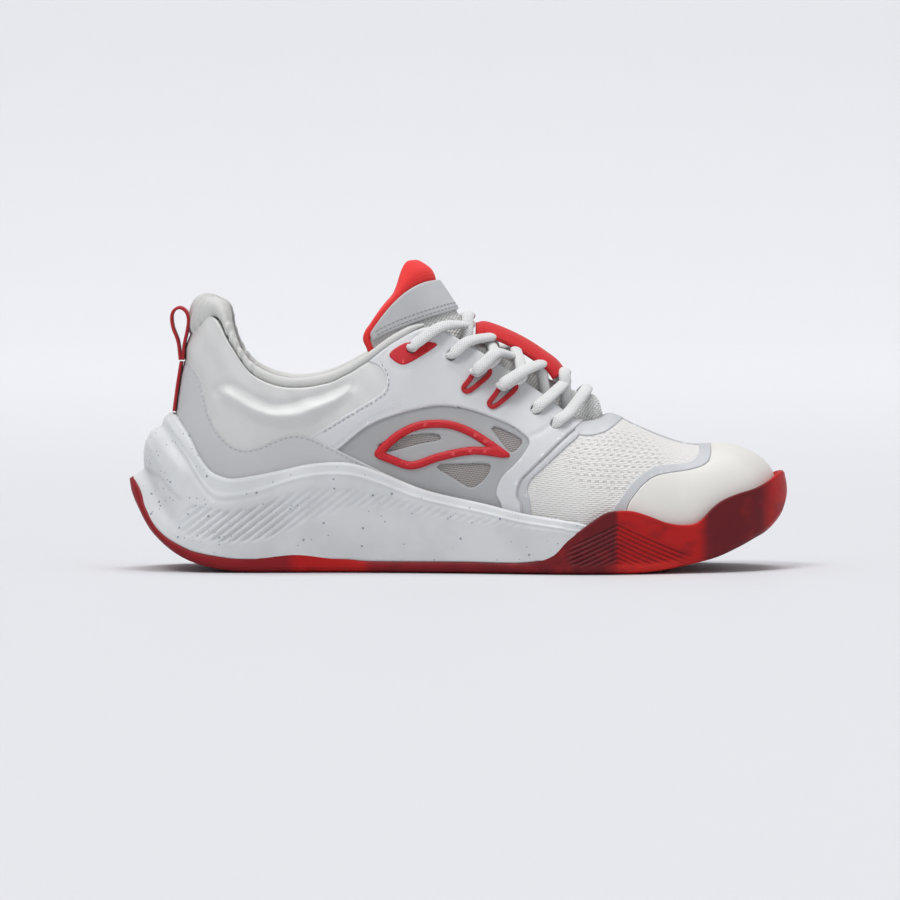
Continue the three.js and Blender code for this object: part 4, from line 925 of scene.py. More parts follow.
def ringBody(rings, treadRelief=None):
    # rings of (lateral, medial) rows from heel to toe, bottom first, closed below and above
    n = len(rings[0][0])
    points = [np.vstack([a, b[::-1][1:-1]]) for a, b in rings]
    size = len(points[0])
    tris = []
    for k in range(len(rings) - 1):
        a = np.arange(size)
        b = (a + 1) % size
        low, high = k * size, (k + 1) * size
        tris += [np.stack([low + a, low + b, high + b], 1), np.stack([low + a, high + b, high + a], 1)]
    flat = np.vstack(points)
    parts, start = [flat], len(flat)
    for ring, up, across in ((rings[0], False, 40), (rings[-1], True, 6)):
        share = np.linspace(0, 1, across)[None, :, None]
        grid = ring[0][:, None] * (1 - share) + ring[1][:, None] * share
        if not up and treadRelief is not None:
            grid = treadRelief(grid, share[0, :, 0])
        parts.append(grid.reshape(-1, 3))
        tris.append(gridTris(n, across, flip=not up) + start)
        start += n * across
    points, tris = weld(np.vstack(parts), np.vstack(tris), 2e-3)
    volume = np.einsum("ij,ij->i", points[tris[:, 0]], np.cross(points[tris[:, 1]], points[tris[:, 2]])).sum()
    return points, tris if volume > 0 else tris[:, ::-1]


soleColumns = evenColumns(sole["columns"])
halves = [SoleSide(lateral, soleColumns), SoleSide(medial, soleColumns)]


def treadRelief(grid, share):
    # grooves cut up into the flat of the tread: turning rings under the ball, chevrons elsewhere
    x, y = grid[..., 0], grid[..., 1]
    grid[..., 2] = treadOf(x)
    inner = ease(np.minimum(share, 1 - share), 0.03, 0.09)[None]
    turn = np.hypot(x - 60, y + 2)
    rings = np.cos(2 * math.pi * turn / 7.5)
    zigzag = np.cos(2 * math.pi * (x + 5 * np.abs(((y / 16) % 1) - 0.5) * 2) / 6.5)
    pattern = np.where(turn < 34, rings, zigzag)
    gap = np.where(np.abs(turn - 34) < 1.2, 1.0, 0.0)
    arched = 1 - ease(x, -52, -40) * (1 - ease(x, -4, 6))
    depth = np.maximum(1.5 * ease(pattern, 0.15, 0.6), 1.5 * gap) * inner * arched
    shank = 1.2 * (1 - arched) * ease(np.abs(share - 0.5), 0.28, 0.2)[None]
    ends = ease(x, -128, -118) * (1 - ease(x, 122, 130))
    grid[..., 2] += (depth + shank) * ends
    return grid


def rubberRings():
    lists = []
    for h in halves:
        edge = h.place(h.flare, 0)
        x = edge[:, 0]
        tread, top = treadOf(x), soleTopOf(x)
        fore = ease(x, 42, 60)
        rim = h.flare - 0.7 - 0.8 * fore
        rim = np.where(fore > 0, np.maximum(rim, h.wallReach(top) + 1.7 * fore), rim)
        low = tread + np.minimum(2.2, (top - tread) * 0.45)
        rings = []
        for inset, rise in ((4.0, 0.0), (2.4, 0.12), (1.3, 0.5), (0.6, 1.2)):
            reach = h.flare - inset
            rings.append(h.place(reach, treadOf(h.place(reach, 0)[:, 0]) + (low - tread) / 2.2 * rise))
        for v in np.linspace(0, 1, sole["wallRowsRubber"]):
            z = low + (top - 0.5 - low) * v
            reach = h.flare + (rim - h.flare) * v ** 2.2
            reach = np.maximum(reach, np.where(fore > 0, h.wallReach(z) + 1.2 * fore, -99))
            across = np.abs(x / fit - sole["fanCentre"])
            roof = z + 0.50 * across - 0.0018 * across ** 2
            fan = (0.5 - 0.5 * np.cos(2 * math.pi * roof / sole["fanPitch"])) ** 2
            zone = ease(x, 44, 50) * (1 - ease(x, 95, 104)) * ease(z - tread, 2.5, 5)
            zone = zone * (1 - ease(z, top - 5.5, top - 2.5)) * (1 - ease(roof, 21, 23.5))
            lip = 0.35 * ease(z, top - 2.4, top - 0.8) * fore
            rings.append(h.place(reach - sole["fanDepth"] * fan * zone + lip * (1 - v ** 8), z))
        rings.append(h.place(rim - 0.5, top))
        rings.append(h.place(rim - 1.1, top - 0.15))
        cup = h.flare - 0.6 - sole["cupWall"] * ease(x, 40, 60)
        floor = np.minimum(top - 0.2, tread + sole["rubber"])
        rings.append(h.place(np.minimum(cup, rim - 1.3), floor))
        lists.append(rings)
    return list(zip(*lists))


def foamRings():
    lists = []
    angle = math.radians(sole["fluteAngle"])
    for h in halves:
        x = h.place(h.flare, 0)[:, 0]
        hidden = ease(x, 40, 60)
        base = h.flare - 0.55 - sole["cupWall"] * hidden
        tread = treadOf(h.place(base, 0)[:, 0])
        rubberTop = soleTopOf(h.place(base, 0)[:, 0])
        zLow = np.maximum(np.minimum(rubberTop - 0.3, tread + sole["rubber"]), tread + 1.0)
        zRim = np.full(len(x), 45.0)
        for _ in range(12):
            zRim = np.maximum(foamTopOf(h.place(h.wallReach(zRim), 0)[:, 0]), h.foot[:, 2] - 0.4)
        rim = h.wallReach(zRim) + sole["foamWall"] - 1.5 * hidden
        zCrease = np.clip(creaseOf(h.place(rim + 1, 0)[:, 0]), zLow + 0.6, zRim - 0.8)
        crease = rim + 2.0 * (1 - hidden)
        heel = 1 - ease(h.foot[:, 0], -119.5, -106)
        rings = []
        for inset in (4.0, 1.6, 0.5):
            rings.append(h.place(base - inset, zLow + (0.5 - inset) * 0.03))
        rowsLow = int(sole["wallRowsFoam"] * 0.74)
        for k in range(sole["wallRowsFoam"] + 1):
            lower = min(k / rowsLow, 1.0)
            upper = max(0.0, (k - rowsLow) / (sole["wallRowsFoam"] - rowsLow))
            z = zLow + 0.3 + (zCrease - zLow - 0.3) * lower + (zRim - zCrease) * upper
            part = (z - zLow) / (zRim - zLow)
            if upper == 0:
                side = base + (crease - base) * lower ** 1.3
                side = side - 0.45 * ease(np.full(len(x), lower), 0.90, 1.0)
            else:
                swell = 0.35 * math.sin(math.pi * min(upper * 3, 1))
                side = crease - 0.45 + swell + (rim - crease + 0.45) * upper
                side = side - 0.6 * ease(np.full(len(x), upper), 0.86, 1.0)
            rounded = base + (rim - base) * np.interp(part, heelShape[:, 0], heelShape[:, 1])
            reach = side * (1 - heel) + rounded * heel
            p = h.place(reach, z)
            px, pz = p[:, 0] / fit, z / fit
            flute = (px * math.sin(angle) - pz * math.cos(angle)) / sole["flutePitch"]
            ridge = np.abs((flute % 1) - 0.5) * 2
            strength = 0.35 + 0.65 * (1 - ease(px, -82, -62))
            strength = strength * ease(px, -122, -112) * (1 - ease(px, 36, 44))
            zone = ease(pz, fluteLowOf(p[:, 0]), fluteLowOf(p[:, 0]) + 2.5)
            zone = zone * (1 - ease(pz, fluteTopOf(p[:, 0]) - 2, fluteTopOf(p[:, 0])))
            rows = np.zeros((len(p), 11))
            rows[:, 0], rows[:, 2], rows[:, 9] = px, pz, 1
            pad = 1.3 * ease(-outlineField(heelPad, rows), -0.6, 2.6) * ease(h.foot[:, 0], -108, -114)
            rings.append(h.place(reach - sole["fluteDepth"] * (1 - ridge) ** 1.5 * zone * strength + pad, z))
        rings.append(h.place(rim - 1.1, zRim + 0.25))
        rings.append(h.place(rim - 2.4, zRim - 0.1))
        inside = np.maximum(h.wallReach(h.foot[:, 2] + 4), 0.0) + 0.2
        rings.append(h.place(np.minimum(inside, rim - 2.5), h.foot[:, 2] + 3.5))
        rings.append(h.place(np.minimum(-1.0, rim - 3), h.foot[:, 2] - 0.5))
        lists.append(rings)
    return list(zip(*lists))


points, tris = ringBody(rubberRings(), treadRelief)
settle(makeObject("outsole", points, tris, "tread_rubber"), ["outsole"], blendTo="forefoot")
points, tris = ringBody(foamRings())
settle(makeObject("midsole", points, tris, "sole_foam"), ["midsole"], blendTo="forefoot")
print("sole done")

# swept pieces
def frames(path, reference):
    # tangent, across and facing directions along a path; reference points out of the shoe
    tangent = unit(np.gradient(path, axis=0))
    across = unit(np.cross(tangent, reference))
    return tangent, across, unit(np.cross(across, tangent))


def ringPiece(name, rings, cloth, material, closed=False):
    # a skin over a row of rings with equal counts, closed at both ends
    n, k = rings.shape[:2]
    ring = np.arange(k)
    ahead = (ring + 1) % k
    tris = []
    for i in range(n if closed else n - 1):
        low, high = i * k, ((i + 1) % n) * k
        tris += [np.stack([low + ring, low + ahead, high + ahead], 1),
                 np.stack([low + ring, high + ahead, high + ring], 1)]
    points, cloth = rings.reshape(-1, 3), cloth.reshape(-1, 2)
    if not closed:
        points = np.vstack([points, rings[0].mean(0), rings[-1].mean(0)])
        cloth = np.vstack([cloth, cloth[0], cloth[-1]])
        tris.append(np.stack([ahead, ring, np.full(k, n * k)], 1))
        tris.append(np.stack([(n - 1) * k + ring, (n - 1) * k + ahead, np.full(k, n * k + 1)], 1))
    tris = np.vstack(tris)
    corners = points[tris]
    volume = np.einsum("ij,ij->i", corners[:, 0], np.cross(corners[:, 1], corners[:, 2])).sum()
    return makeObject(name, points, tris if volume > 0 else tris[:, ::-1], material, cloth=cloth)


def relax(line, rounds=1):
    # evens out a line, its two ends held
    for _ in range(rounds):
        line[1:-1] = line[1:-1] * 0.5 + (line[:-2] + line[2:]) * 0.25


def runOf(path):
    return np.concatenate([[0], np.cumsum(np.linalg.norm(np.diff(path, axis=0), axis=1))])


def sweepPiece(name, path, reference, section, material, closed=False, crown=0.0):
    # a section of (across, facing) points carried along a path
    _, across, facing = frames(path, reference)
    section = np.asarray(section, float)
    lift = section[:, 1] - crown * section[:, 0] ** 2
    rings = path[:, None] + across[:, None] * section[None, :, :1] + facing[:, None] * lift[None, :, None]
    cloth = np.stack(np.broadcast_arrays(runOf(path)[:, None], runOf(section)[None]), 2)
    return ringPiece(name, rings, cloth, material, closed)


def ovalSection(halfAcross, halfUp, sides=20, square=1.0):
    angle = np.linspace(0, 2 * math.pi, sides, endpoint=False)
    c, s = np.cos(angle), np.sin(angle)
    return np.stack([halfAcross * np.sign(c) * np.abs(c) ** square,
                     halfUp * np.sign(s) * np.abs(s) ** square], 1)


def bandSection(width, thick, steps=6):
    # flat webbing with rounded selvedges
    x = np.linspace(-width / 2 + thick / 2, width / 2 - thick / 2, steps)
    turn = np.linspace(math.pi / 2, -math.pi / 2, 5)
    right = np.stack([width / 2 - thick / 2 + thick / 2 * np.cos(turn), thick / 2 * np.sin(turn)], 1)
    top = np.stack([x, np.full(steps, thick / 2)], 1)
    return np.vstack([top, right[1:-1], top[::-1] * [1, -1], right[1:-1][::-1] * [-1, 1]])


collarRoll = {"from": 8.8, "samples": 260, "lift": 0.15, "ribPitch": 3.2, "ribDepth": 0.13, "wrinkle": 0.14}
rollWidth = [5, 4.8, 4.4, 3.8, 3.6, 3.5, 3.3, 3.0, 2.6, 2.0]
rollHeight = [4.3, 4.3, 4.0, 3.7, 3.0, 2.7, 2.6, 2.4, 2.2, 1.8]


def makeRoll(s):
    us = np.linspace(s["from"], -s["from"], 2 * s["samples"] - 1)
    parts = []
    for side, part in ((lateral, us[us >= 0]), (medial, -us[us < 0])):
        edge = wallAt(side, part, np.ones(len(part)))
        up = unit(edge - wallAt(side, part, np.full(len(part), 0.965)))
        out = wallFrame(side, part)[4]
        parts.append(np.hstack([edge, up, unit(out - up * (out * up).sum(1, keepdims=True))]))
    edge, up, face = np.hsplit(np.vstack(parts), 3)
    u = np.abs(us)
    heel = 1 - ease(u, 0.5, 1.9)
    wide = np.interp(u, range(10), rollWidth)
    high = np.interp(u, range(10), rollHeight) + 4.2 * heel
    centre = edge - face * (wide - 0.5 - 1.5 * heel)[:, None] + up * (high + s["lift"] - 8.0 * heel)[:, None]
    along = runOf(centre)[:, None]
    ring = ovalSection(1.0, 1.0, 32, 0.85)
    turn = np.arctan2(ring[:, 1], ring[:, 0])[None]
    steep = (ease(edge[:, 0], -105, -100) * (1 - ease(edge[:, 0], -90, -86)))[:, None]
    bead = 2 * math.pi * (along + 1.2 * np.sin(2 * turn)) / s["ribPitch"]
    shape = 1 + s["ribDepth"] * heel[:, None] * np.cos(bead) + 0.02 * np.sin(along * 0.23 + 2 * turn)
    shape = shape + s["wrinkle"] * steep * np.sin(along * 1.3 + turn * 2.2) * np.cos(along * 0.31)
    shape = shape * np.minimum(1.0, 0.35 + (s["from"] - u) * 1.4)[:, None]
    rings = centre[:, None] + face[:, None] * (ring[None, :, 0] * wide[:, None] * shape)[..., None]
    rings = rings + up[:, None] * (ring[None, :, 1] * high[:, None] * shape)[..., None]
    cloth = np.stack(np.broadcast_arrays(along, turn * 4), 2)
    roll = ringPiece("collar_roll", rings, cloth, "roll_cloth")
    settle(roll, ["collar_roll"])


makeRoll(collarRoll)

# tongue
tongueRibs = np.array([
    # centre x, z, half-width, fall, sweep
    [65, 59.4, 5, 4, 0], [62.2, 66, 6, 17, 0], [59, 74.2, 10, 26, 1], [50, 76.4, 14, 30, 3],
    [40, 81, 15.5, 32, 5], [30, 86.5, 17, 33, 10], [19, 92.3, 18, 32, 14], [8, 98.5, 17.5, 30, 19],
    [2, 106, 16, 28, 25], [-2, 112.5, 15.2, 26, 29], [-5.8, 118.5, 15, 25, 31], [-9.5, 124, 15, 24, 30],
], float)


def tonguePoint(rib, across):
    rib, across = np.broadcast_arrays(np.asarray(rib, float), np.asarray(across, float))
    table = np.vstack([2 * tongueRibs[0] - tongueRibs[1], tongueRibs, 2 * tongueRibs[-1] - tongueRibs[-2]])
    low = np.clip(np.floor(rib).astype(int), 0, len(tongueRibs) - 2)
    t = (rib - low)[..., None]
    a, b, c, d = (table[low + i] for i in range(4))
    v = splineAt(a, b, c, d, t)
    rounded = np.clip((rib - 5) / 3, 0, 1)
    turn = across * math.pi / 2
    fallen = across ** 2 * (1 - rounded) + (1 - np.cos(turn)) * rounded
    side = across * (1 - rounded) + np.sin(turn) * rounded
    bulge = np.clip((rib - 8) / 3, 0, 1)      # the free top of the tongue is fuller at its shoulders
    back, down = fallen ** (1 - 0.35 * bulge), fallen ** (1 + 0.35 * bulge)
    return np.stack([v[..., 0] - v[..., 4] * back, v[..., 2] * side, v[..., 1] - v[..., 3] * down], -1) * fit


def tongueNormal(rib, across):
    along = tonguePoint(rib + 0.05, across) - tonguePoint(rib - 0.05, across)
    return unit(np.cross(tonguePoint(rib, across + 0.02) - tonguePoint(rib, across - 0.02), along))


def tonguePiece(name, ribFrom, ribTo, reach, outer, inner, material, steps=(130, 60), edge=1.0,
                scoop=0.0, mottle=0.0):
    share = np.linspace(-1, 1, steps[1])
    start = ribFrom + scoop * share ** 2
    rib = start[None] + (ribTo - start)[None] * np.linspace(0, 1, steps[0])[:, None]
    across = np.broadcast_to(share[None] * reach, rib.shape)
    grid = tonguePoint(rib, across)
    tris = gridTris(*steps)
    points = grid.reshape(-1, 3)
    normal = meshNormals(points, tris)
    if normal[:, 0].mean() + normal[:, 2].mean() < 0:
        normal = -normal
        tris = tris[:, ::-1]
    up = np.cumsum(np.linalg.norm(np.diff(grid, axis=0, prepend=grid[:1]), axis=2), 0)
    side = np.cumsum(np.linalg.norm(np.diff(grid, axis=1, prepend=grid[:, :1]), axis=2), 1)
    rim = np.minimum(np.minimum(up, up[-1:] - up), np.minimum(side, side[:, -1:] - side)).reshape(-1)
    depth = np.clip(rim / edge, 0, 1)
    lower = min(edge, (outer - inner) / 2) * (1 - np.sqrt(1 - (1 - depth) ** 2))
    swell = mottle * np.sin(up * 0.5).reshape(-1) * np.sin(side * 0.4).reshape(-1)
    points, tris = closeSheet(points + normal * (outer - lower + swell)[:, None],
                              points + normal * (inner + lower * 0.5)[:, None], tris)
    cloth = np.stack([side, up], 2).reshape(-1, 2)
    return makeObject(name, points, tris, material, cloth=np.vstack([cloth, cloth]))


settle(tonguePiece("tongue_mesh", 0, 11, 1.0, 0.1, -0.8, "tongue_knit", (200, 90)),
       ["tongue_mesh"], blendTo="tongue_top")
foam = settle(tonguePiece("tongue_foam", 5, 11, 0.84, -1.3, -4.8, "padding", edge=1.6, mottle=0.1),
              ["tongue_foam"], blendTo="tongue_top")
settle(tonguePiece("tongue_lining", 5, 11, 0.84, -5.3, -6.2, "red_textile"), ["tongue_lining"],
       blendTo="tongue_top")
settle(tonguePiece("tongue_patch", 8.8, 11, 0.97, 1.5, 0.25, "grey_panel_light", (70, 70),
                   1.1, 1.7), ["tongue_patch"], "tongue_top")


def tongueAt(x):
    ribPlaces = np.arange(0, 11, 0.05)
    centre = tonguePoint(ribPlaces, 0)
    return centre[np.argmax(centre[:, 0] <= x * fit)]


def carried(node, material, levels=2, blendTo=None):
    # a CAD piece with its facets rounded off
    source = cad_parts[node]
    points = np.array([v.co for v in source.data.vertices]) / mm
    tris = np.array([list(p.vertices) for p in source.data.polygons])
    points, tris = weld(points, tris, 2e-3)
    piece = makeObject(node, points, tris, material)
    if levels:
        smooth = piece.modifiers.new("smooth", "SUBSURF")
        smooth.levels = smooth.render_levels = levels
        ready = bpy.data.meshes.new_from_object(piece.evaluated_get(bpy.context.evaluated_depsgraph_get()))
        piece.modifiers.remove(smooth)
        piece.data = ready
    mesh = piece.data
    layer = mesh.uv_layers.get("UVMap") or mesh.uv_layers.new(name="UVMap")
    co = np.array([v.co for v in mesh.vertices])
    loops = np.zeros(len(mesh.loops), np.int32)
    mesh.loops.foreach_get("vertex_index", loops)
    layer.data.foreach_set("uv", np.stack([co[loops, 1] + co[loops, 0] * 0.2, co[loops, 2]], 1).ravel())
    return settle(piece, [node], blendTo=blendTo)


binding = {"roll": 1.7, "lobe": 4.8, "stack": 1.9, "lean": (-0.55, 0, 0.84)}


def makeBinding(s):
    # a rolled edge round the tongue's top that opens into a padded lobe in the middle
    low = np.linspace(9.4, 11, 26)[:-1]
    across = np.concatenate([np.full(25, -1.0), np.linspace(-1, 1, 150), np.full(25, 1.0)])
    rib = np.concatenate([low, np.full(150, 11.0), low[::-1]])
    path = tonguePoint(rib, across)
    outer = np.where((rib < 11)[:, None], path - tonguePoint(rib, across * 0.93),
                     path - tonguePoint(rib - 0.4, across))
    outer = unit(outer)
    lobe = (1 - ease(np.abs(across), 0.2, 0.66)) * (rib >= 11)
    outer = unit(outer * (1 - lobe)[:, None] + np.array(s["lean"]) * lobe[:, None])
    for _ in range(12):
        relax(outer)
        outer[1:-1] = unit(outer[1:-1])
        relax(path)
    tangent = unit(np.gradient(path, axis=0))
    face = unit(np.cross(outer, tangent))
    face = face * np.sign(face[:, :1] * 0.6 + face[:, 2:] * 0.8 + 1e-9)
    half = s["roll"] + s["lobe"] * lobe
    thick = s["roll"] * 0.9 + s["stack"] * (1 - ease(np.abs(across), 0.6, 0.95)) * (rib >= 11)
    relax(thick, 6)
    centre = path + outer * (half - 1.0)[:, None] - face * (thick - 1.2)[:, None]
    ring = ovalSection(1.0, 1.0, 28, 0.9)
    taper = 1 - 0.5 * lobe[:, None] * np.clip(ring[None, :, 0], 0, 1)
    rings = centre[:, None] + outer[:, None] * (ring[None, :, 0] * half[:, None])[..., None]
    rings = rings + face[:, None] * (ring[None, :, 1] * thick[:, None] * taper)[..., None]
    turn = np.arctan2(ring[:, 1], ring[:, 0]) * 3
    cloth = np.stack(np.broadcast_arrays(runOf(path)[:, None], turn[None]), 2)
    piece = ringPiece("tongue_binding", rings, cloth, "red_textile")
    settle(piece, ["tongue_binding"], "tongue_top")


makeBinding(binding)
for node, material, slot in (("strobel_board", "board", "board"), ("insole", "insole_cloth", "insole_cloth")):
    carried(node, material, levels=1, blendTo="forefoot")
carried("toe_puff", "stiffener", levels=0, blendTo="forefoot")
carriedOver = {"heel_counter": "stiffener", "collar_foam": "padding", "lace_tip_lateral": "lace_end",
               "lace_tip_medial": "lace_end"}
print("tongue done")

# lace and webbing
lace = {"halfWide": 2.65, "halfThick": 1.65, "bar": 54.5, "lips": [47, 38.5, 26.5, 15, 3.5, -8], "step": 0.9}
loopStrap = {"width": 2.3, "thick": 1.0}


def lipOf(side, x):
    us = np.linspace(7.5, 14.5, 300)
    edge = wallAt(side, us, np.ones(len(us)))
    place = edge[np.argmin(np.abs(edge[:, 0] - x * fit))]
    return place, unit(np.array([0.25, side * 0.75, 0.65]))


def throughEyelet(side, index):
    # up out of a hole and over the edge, or round a webbing loop's bar; from below to above
    e = eyelets[index]
    point, normal = nearWall(side, e["x"], e["z"])
    lip, lipNormal = lipOf(side, lace["lips"][index])
    inward = unit(lip - point)
    t = lace["halfThick"]
    under = -last["wallStack"] - t - 0.3

    def shift(distance, height):
        return point + normal * height + inward * distance
    if e["kind"] == "loop":
        return ([lip + lipNormal * (t + 0.5), shift(1.5, t + 0.6), shift(-0.6, t + 0.7)],
                [shift(-2.9, t + 1.9), shift(-2.6, t + 3.6), shift(-0.6, t + 4.9), shift(2.6, t + 5.1),
                 lip + lipNormal * (t + 4.4)])
    rim = 1.4 if e["kind"] == "patch" else 0.6
    return ([lip + lipNormal * under + inward * 1.5, shift(4, under), shift(0.6, under + 0.6)],
            [shift(0, -last["wallStack"] / 2), shift(0.5, t + rim - 0.7), shift(3.4, t + rim),
             lip + lipNormal * (t + 0.7)])


def crossing(x, level, y=0.0):
    p = tongueAt(x)
    return np.array([p[0], y, p[2] + lace["halfThick"] + 0.8 + level * 2 * lace["halfThick"] - 0.02 * y * y])


def halfLace(side, level):
    points = []
    under = -last["wallStack"] - lace["halfThick"] - 0.3
    for x, z in ((-43, 56), (-38, 68), (-32, 80), (-25, 89)):
        point, normal = nearWall(side, x, z)
        points.append(point + normal * (under - (2 if z < 60 else 0)))
    now = side
    for index in range(5, -1, -1):
        below, above = throughEyelet(now, index)
        points += (below[2:] if index == 5 else below) + above
        if index:
            x = eyelets[index]["crossing"]
            points += [crossing(x, level, now * 6), crossing(x, level, -now * 6)]
        now = -now
    return points


def makeLace(s):
    route = halfLace(lateral, 0) + [crossing(s["bar"], 0, 8), crossing(s["bar"], 0, -8)]
    route += halfLace(medial, 1)[::-1]
    path = smoothLine(np.array(route), s["step"])
    relax(path, 3)
    reference = unit(path - np.stack([path[:, 0] - 8, path[:, 1] * 0.1, path[:, 2] - 30], 1))
    section = ovalSection(s["halfWide"], s["halfThick"], 18, 0.9)
    piece = sweepPiece("lace", path, reference, section, "lace_cord")
    settle(piece, ["lace"])


makeLace(lace)


def makeLoop(side, number, index):
    e = eyelets[index]
    corners = [(-6.1, -6.6), (-4.2, -8.0), (0.5, -5.0), (4.4, -1.6), (3.9, 0.6), (2.2, 2.2), (0.9, 2.6),
               (-1.0, 0.6), (-3.6, -3.2)]
    heights = [0.5, 0.5, 1.4, 2.2, 2.5, 2.5, 2.2, 1.9, 1.3]
    points = []
    for (dx, dz), height in zip(corners, heights):
        point, normal = nearWall(side, e["x"] + dx, e["z"] + dz)
        points.append(point + normal * (height + 0.4))
    path = smoothLine(np.array(points), 0.5, closed=True)
    _, normal = nearWall(side, e["x"], e["z"])
    name = f"lace_loop_{sideNames[side]}_{number}"
    piece = sweepPiece(name, path, np.broadcast_to(normal, path.shape),
                       bandSection(loopStrap["width"], loopStrap["thick"], 4), "red_webbing",
                       closed=True)
    settle(piece, [name])


for side in (lateral, medial):
    makeLoop(side, 1, 3)
    makeLoop(side, 2, 2)


def makeCover():
    along = np.linspace(45.5, 7.5, 60)
    path = np.array([crossing(x, 1) for x in along])
    part = (along - along[-1]) / (along[0] - along[-1])
    path[:, 1] -= 1.5
    path[:, 2] += lace["halfThick"] + 1.1 + 2.4 * np.sin(math.pi * part) - 3.0 * (1 - ease(part, 0, 0.12)) \
        - 2.5 * ease(part, 0.9, 1.0)
    relax(path, 8)
    facing = np.tile([0.5, -0.42, 1.0], (len(path), 1))
    piece = sweepPiece("lace_cover", path, facing, bandSection(13.6, 1.5, 14), "red_strap",
                       crown=0.06)
    settle(piece, ["lace_cover"])


makeCover()


pull = {"width": 13, "strapThick": 1.4, "loopThick": 1.3, "strapFoot": 67.5, "strapTop": 89.4,
        "standOff": 1.75}


def makePull(s):
    wall = wallAt(lateral, np.zeros(200), np.linspace(0, 1, 200))
    keep = (wall[:, 2] > s["strapFoot"]) & (wall[:, 2] < s["strapTop"])
    path = wall[keep][::3] - [s["standOff"], 0, 0]
    strap = sweepPiece("heel_strap", path, np.tile([-1.0, 0, 0], (len(path), 1)),
                       bandSection(s["width"], s["strapThick"], 12), "red_webbing")
    settle(strap, ["heel_strap"])
    ring = smoothLine([[-119.3, 90.0], [-118.8, 96], [-117.4, 102.6], [-116.85, 107.5], [-117.9, 110.8],
                       [-120.4, 112.45], [-123, 111.4], [-124.1, 108.5], [-123.5, 103.8], [-121.35, 97.8],
                       [-120.4, 90.0]], 0.6)
    path = np.stack([ring[:, 0], np.zeros(len(ring)), ring[:, 1]], 1)
    tangent = unit(np.gradient(path, axis=0))
    outwards = np.cross(tangent, [0, 1.0, 0])
    section = bandSection(s["width"], s["loopThick"], 12)
    piece = sweepPiece("heel_loop", path, outwards, section, "red_webbing")
    settle(piece, ["heel_loop"], "heel_pull")


makePull(pull)
print("lace and webbing done")

# stitches
stitchSizes = {"pitch": 2.3, "length": 1.5, "thick": 0.5}


def stitchTree():
    tree = bpy.data.node_groups.new("stitches", "GeometryNodeTree")
    face = tree.interface
    sockets = {"Geometry": face.new_socket("Geometry", in_out="INPUT", socket_type="NodeSocketGeometry")}
    for word in ("Pitch", "Length", "Thick"):
        sockets[word] = face.new_socket(word, in_out="INPUT", socket_type="NodeSocketFloat")
    sockets["Thread"] = face.new_socket("Thread", in_out="INPUT", socket_type="NodeSocketMaterial")
    face.new_socket("Geometry", in_out="OUTPUT", socket_type="NodeSocketGeometry")

    def node(kind, **inputs):
        made = tree.nodes.new(kind)
        for key, value in inputs.items():
            socket = made.inputs[key.replace("_", " ")]
            if isinstance(value, bpy.types.NodeSocket):
                tree.links.new(value, socket)
            else:
                socket.default_value = value
        return made
    given = tree.nodes.new("NodeGroupInput").outputs
    curve = node("GeometryNodeMeshToCurve", Mesh=given["Geometry"])
    spaced = tree.nodes.new("GeometryNodeResampleCurve")
    spaced.mode = "LENGTH"
    tree.links.new(curve.outputs[0], spaced.inputs["Curve"])
    tree.links.new(given["Pitch"], spaced.inputs["Length"])
    bead = node("GeometryNodeMeshUVSphere", Segments=8, Rings=6, Radius=0.5)
    tangent = tree.nodes.new("GeometryNodeInputTangent")
    turned = tree.nodes.new("FunctionNodeAlignRotationToVector")
    turned.axis = "X"
    tree.links.new(tangent.outputs[0], turned.inputs["Vector"])
    size = node("ShaderNodeCombineXYZ", X=given["Length"], Y=given["Thick"], Z=given["Thick"])
    placed = node("GeometryNodeInstanceOnPoints", Points=spaced.outputs[0], Instance=bead.outputs["Mesh"],
                  Rotation=turned.outputs[0], Scale=size.outputs[0])
    real = node("GeometryNodeRealizeInstances", Geometry=placed.outputs[0])
    made = node("GeometryNodeSetMaterial", Geometry=real.outputs[0], Material=given["Thread"])
    out = tree.nodes.new("NodeGroupOutput")
    tree.links.new(made.outputs[0], out.inputs[0])
    return tree, {word: socket.identifier for word, socket in sockets.items()}


stitches, stitchInputs = stitchTree()


def stitchRow(name, lines, material="thread", body="root", blendTo=None, pitch=None):
    points, edges = [], []
    for line in lines:
        start = len(points)
        points += [tuple(np.asarray(p) * mm) for p in line]
        edges += [(start + i, start + i + 1) for i in range(len(line) - 1)]
    mesh = bpy.data.meshes.new(name)
    mesh.from_pydata(points, edges, [])
    piece = bpy.data.objects.new(name, mesh)
    bpy.context.scene.collection.objects.link(piece)
    run = piece.modifiers.new("run", "NODES")
    run.node_group = stitches
    run[stitchInputs["Pitch"]] = (pitch or stitchSizes["pitch"]) * mm
    run[stitchInputs["Length"]] = stitchSizes["length"] * mm
    run[stitchInputs["Thick"]] = stitchSizes["thick"] * mm
    run[stitchInputs["Thread"]] = materials[material]
    ready = bpy.data.meshes.new_from_object(piece.evaluated_get(bpy.context.evaluated_depsgraph_get()))
    piece.modifiers.remove(run)
    piece.data = ready
    for face in ready.polygons:
        face.use_smooth = True
    return settle(piece, [], body, blendTo)


def onWallLine(side, line, height):
    out = []
    for x, z in line:
        point, normal = nearWall(side, x, z)
        out.append(point + normal * height)
    return out


def inset(line, distance):
    way = unit(np.gradient(np.asarray(line, float), axis=0))
    return np.asarray(line) + np.stack([-way[:, 1], way[:, 0]], 1) * distance


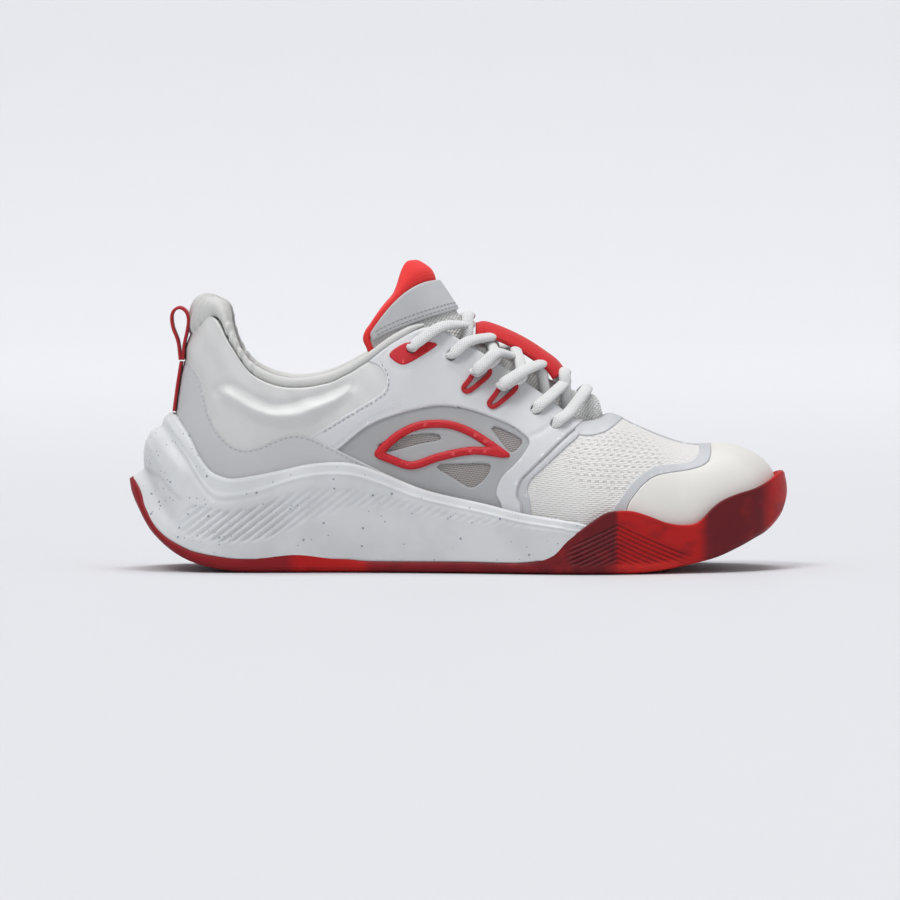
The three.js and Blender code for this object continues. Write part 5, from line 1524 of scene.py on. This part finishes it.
foxingSeam = inset(foxingEdge, -1.4)
foxingSeam = foxingSeam[(foxingSeam[:, 0] > -113.5) & (foxingSeam[:, 0] < -31)]
rearSeam = inset(quarterRear, 1.4)
rearSeam = rearSeam[(rearSeam[:, 0] > -58) & (rearSeam[:, 1] < 88.8)]
stitchRow("foxing_stitches", [onWallLine(s, foxingSeam, 0.62) for s in (lateral, medial)])
stitchRow("quarter_stitches", [onWallLine(s, rearSeam, 0.32) for s in (lateral, medial)])
patchSeam = inset(np.vstack([patchShape, patchShape[:1]]), -1.6)
stitchRow("patch_stitches", [onWallLine(s, patchSeam, 0.35) for s in (lateral, medial)], pitch=1.9)
across = np.linspace(-0.9, 0.9, 80)
seamLow = 8.8 + 1.7 * (across / 0.97) ** 2
seamRows = [tonguePoint(seamLow + shift, across) + tongueNormal(seamLow + shift, across) * 1.55
            for shift in (0.2, 0.42)]
stitchRow("tongue_patch_stitches", seamRows, "grey_thread", "tongue_top", pitch=1.9)
print("stitches done")

# floor, last measures and finish
def addFloor(s):
    half, back, height, bend = 6.0, 4.8, 5.0, 2.0
    profile = [(-half, 0.0), (back - bend, 0.0)]
    profile += [(back - bend + bend * math.sin(a), bend - bend * math.cos(a))
                for a in np.linspace(0.1, math.pi / 2, 12)]
    profile.append((back, height))
    mesh = bpy.data.meshes.new("floor")
    verts = [(x, y, z - 0.0003) for x in (-half, half) for y, z in profile]
    n = len(profile)
    mesh.from_pydata(verts, [], [(i, i + n, i + n + 1, i + 1) for i in range(n - 1)])
    for face in mesh.polygons:
        face.use_smooth = True
    paint = Paint("floor")
    fine = paint.noise(paint.place(), 0.02, 2.0)
    paint.finish(Base_Color=paint.mix(fine, s["floor"], tuple(c * 0.99 for c in s["floor"])), Roughness=0.6)
    mesh.materials.append(paint.material)
    floor = bpy.data.objects.new("floor", mesh)
    bpy.context.scene.collection.objects.link(floor)


addCamera(studio)
addFloor(studio)
bpy.context.scene.view_settings.view_transform = "Standard"
addSun("key", (-0.7, -0.9, 1.9), 22, studio["key"])
addLight("fill", (1.5, -1.5, 1.0), (0, 0, 0.06), 1.2, studio["fill"])
addSun("top", (0.1, 0.3, 2.2), 32, studio["top"])
addLight("backdrop", (0, 2.2, 2.6), (0, 4.8, 0.9), 3.0, studio["backdrop"])
world = bpy.data.worlds.new("studio")
world.use_nodes = True
world.node_tree.nodes["Background"].inputs["Color"].default_value = (0.93, 0.95, 1.0, 1)
world.node_tree.nodes["Background"].inputs["Strength"].default_value = studio["world"]
bpy.context.scene.world = world
for node, material in carriedOver.items():
    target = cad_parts[node]
    target.data.materials.clear()
    target.data.materials.append(materials[material])
print("scene finished")
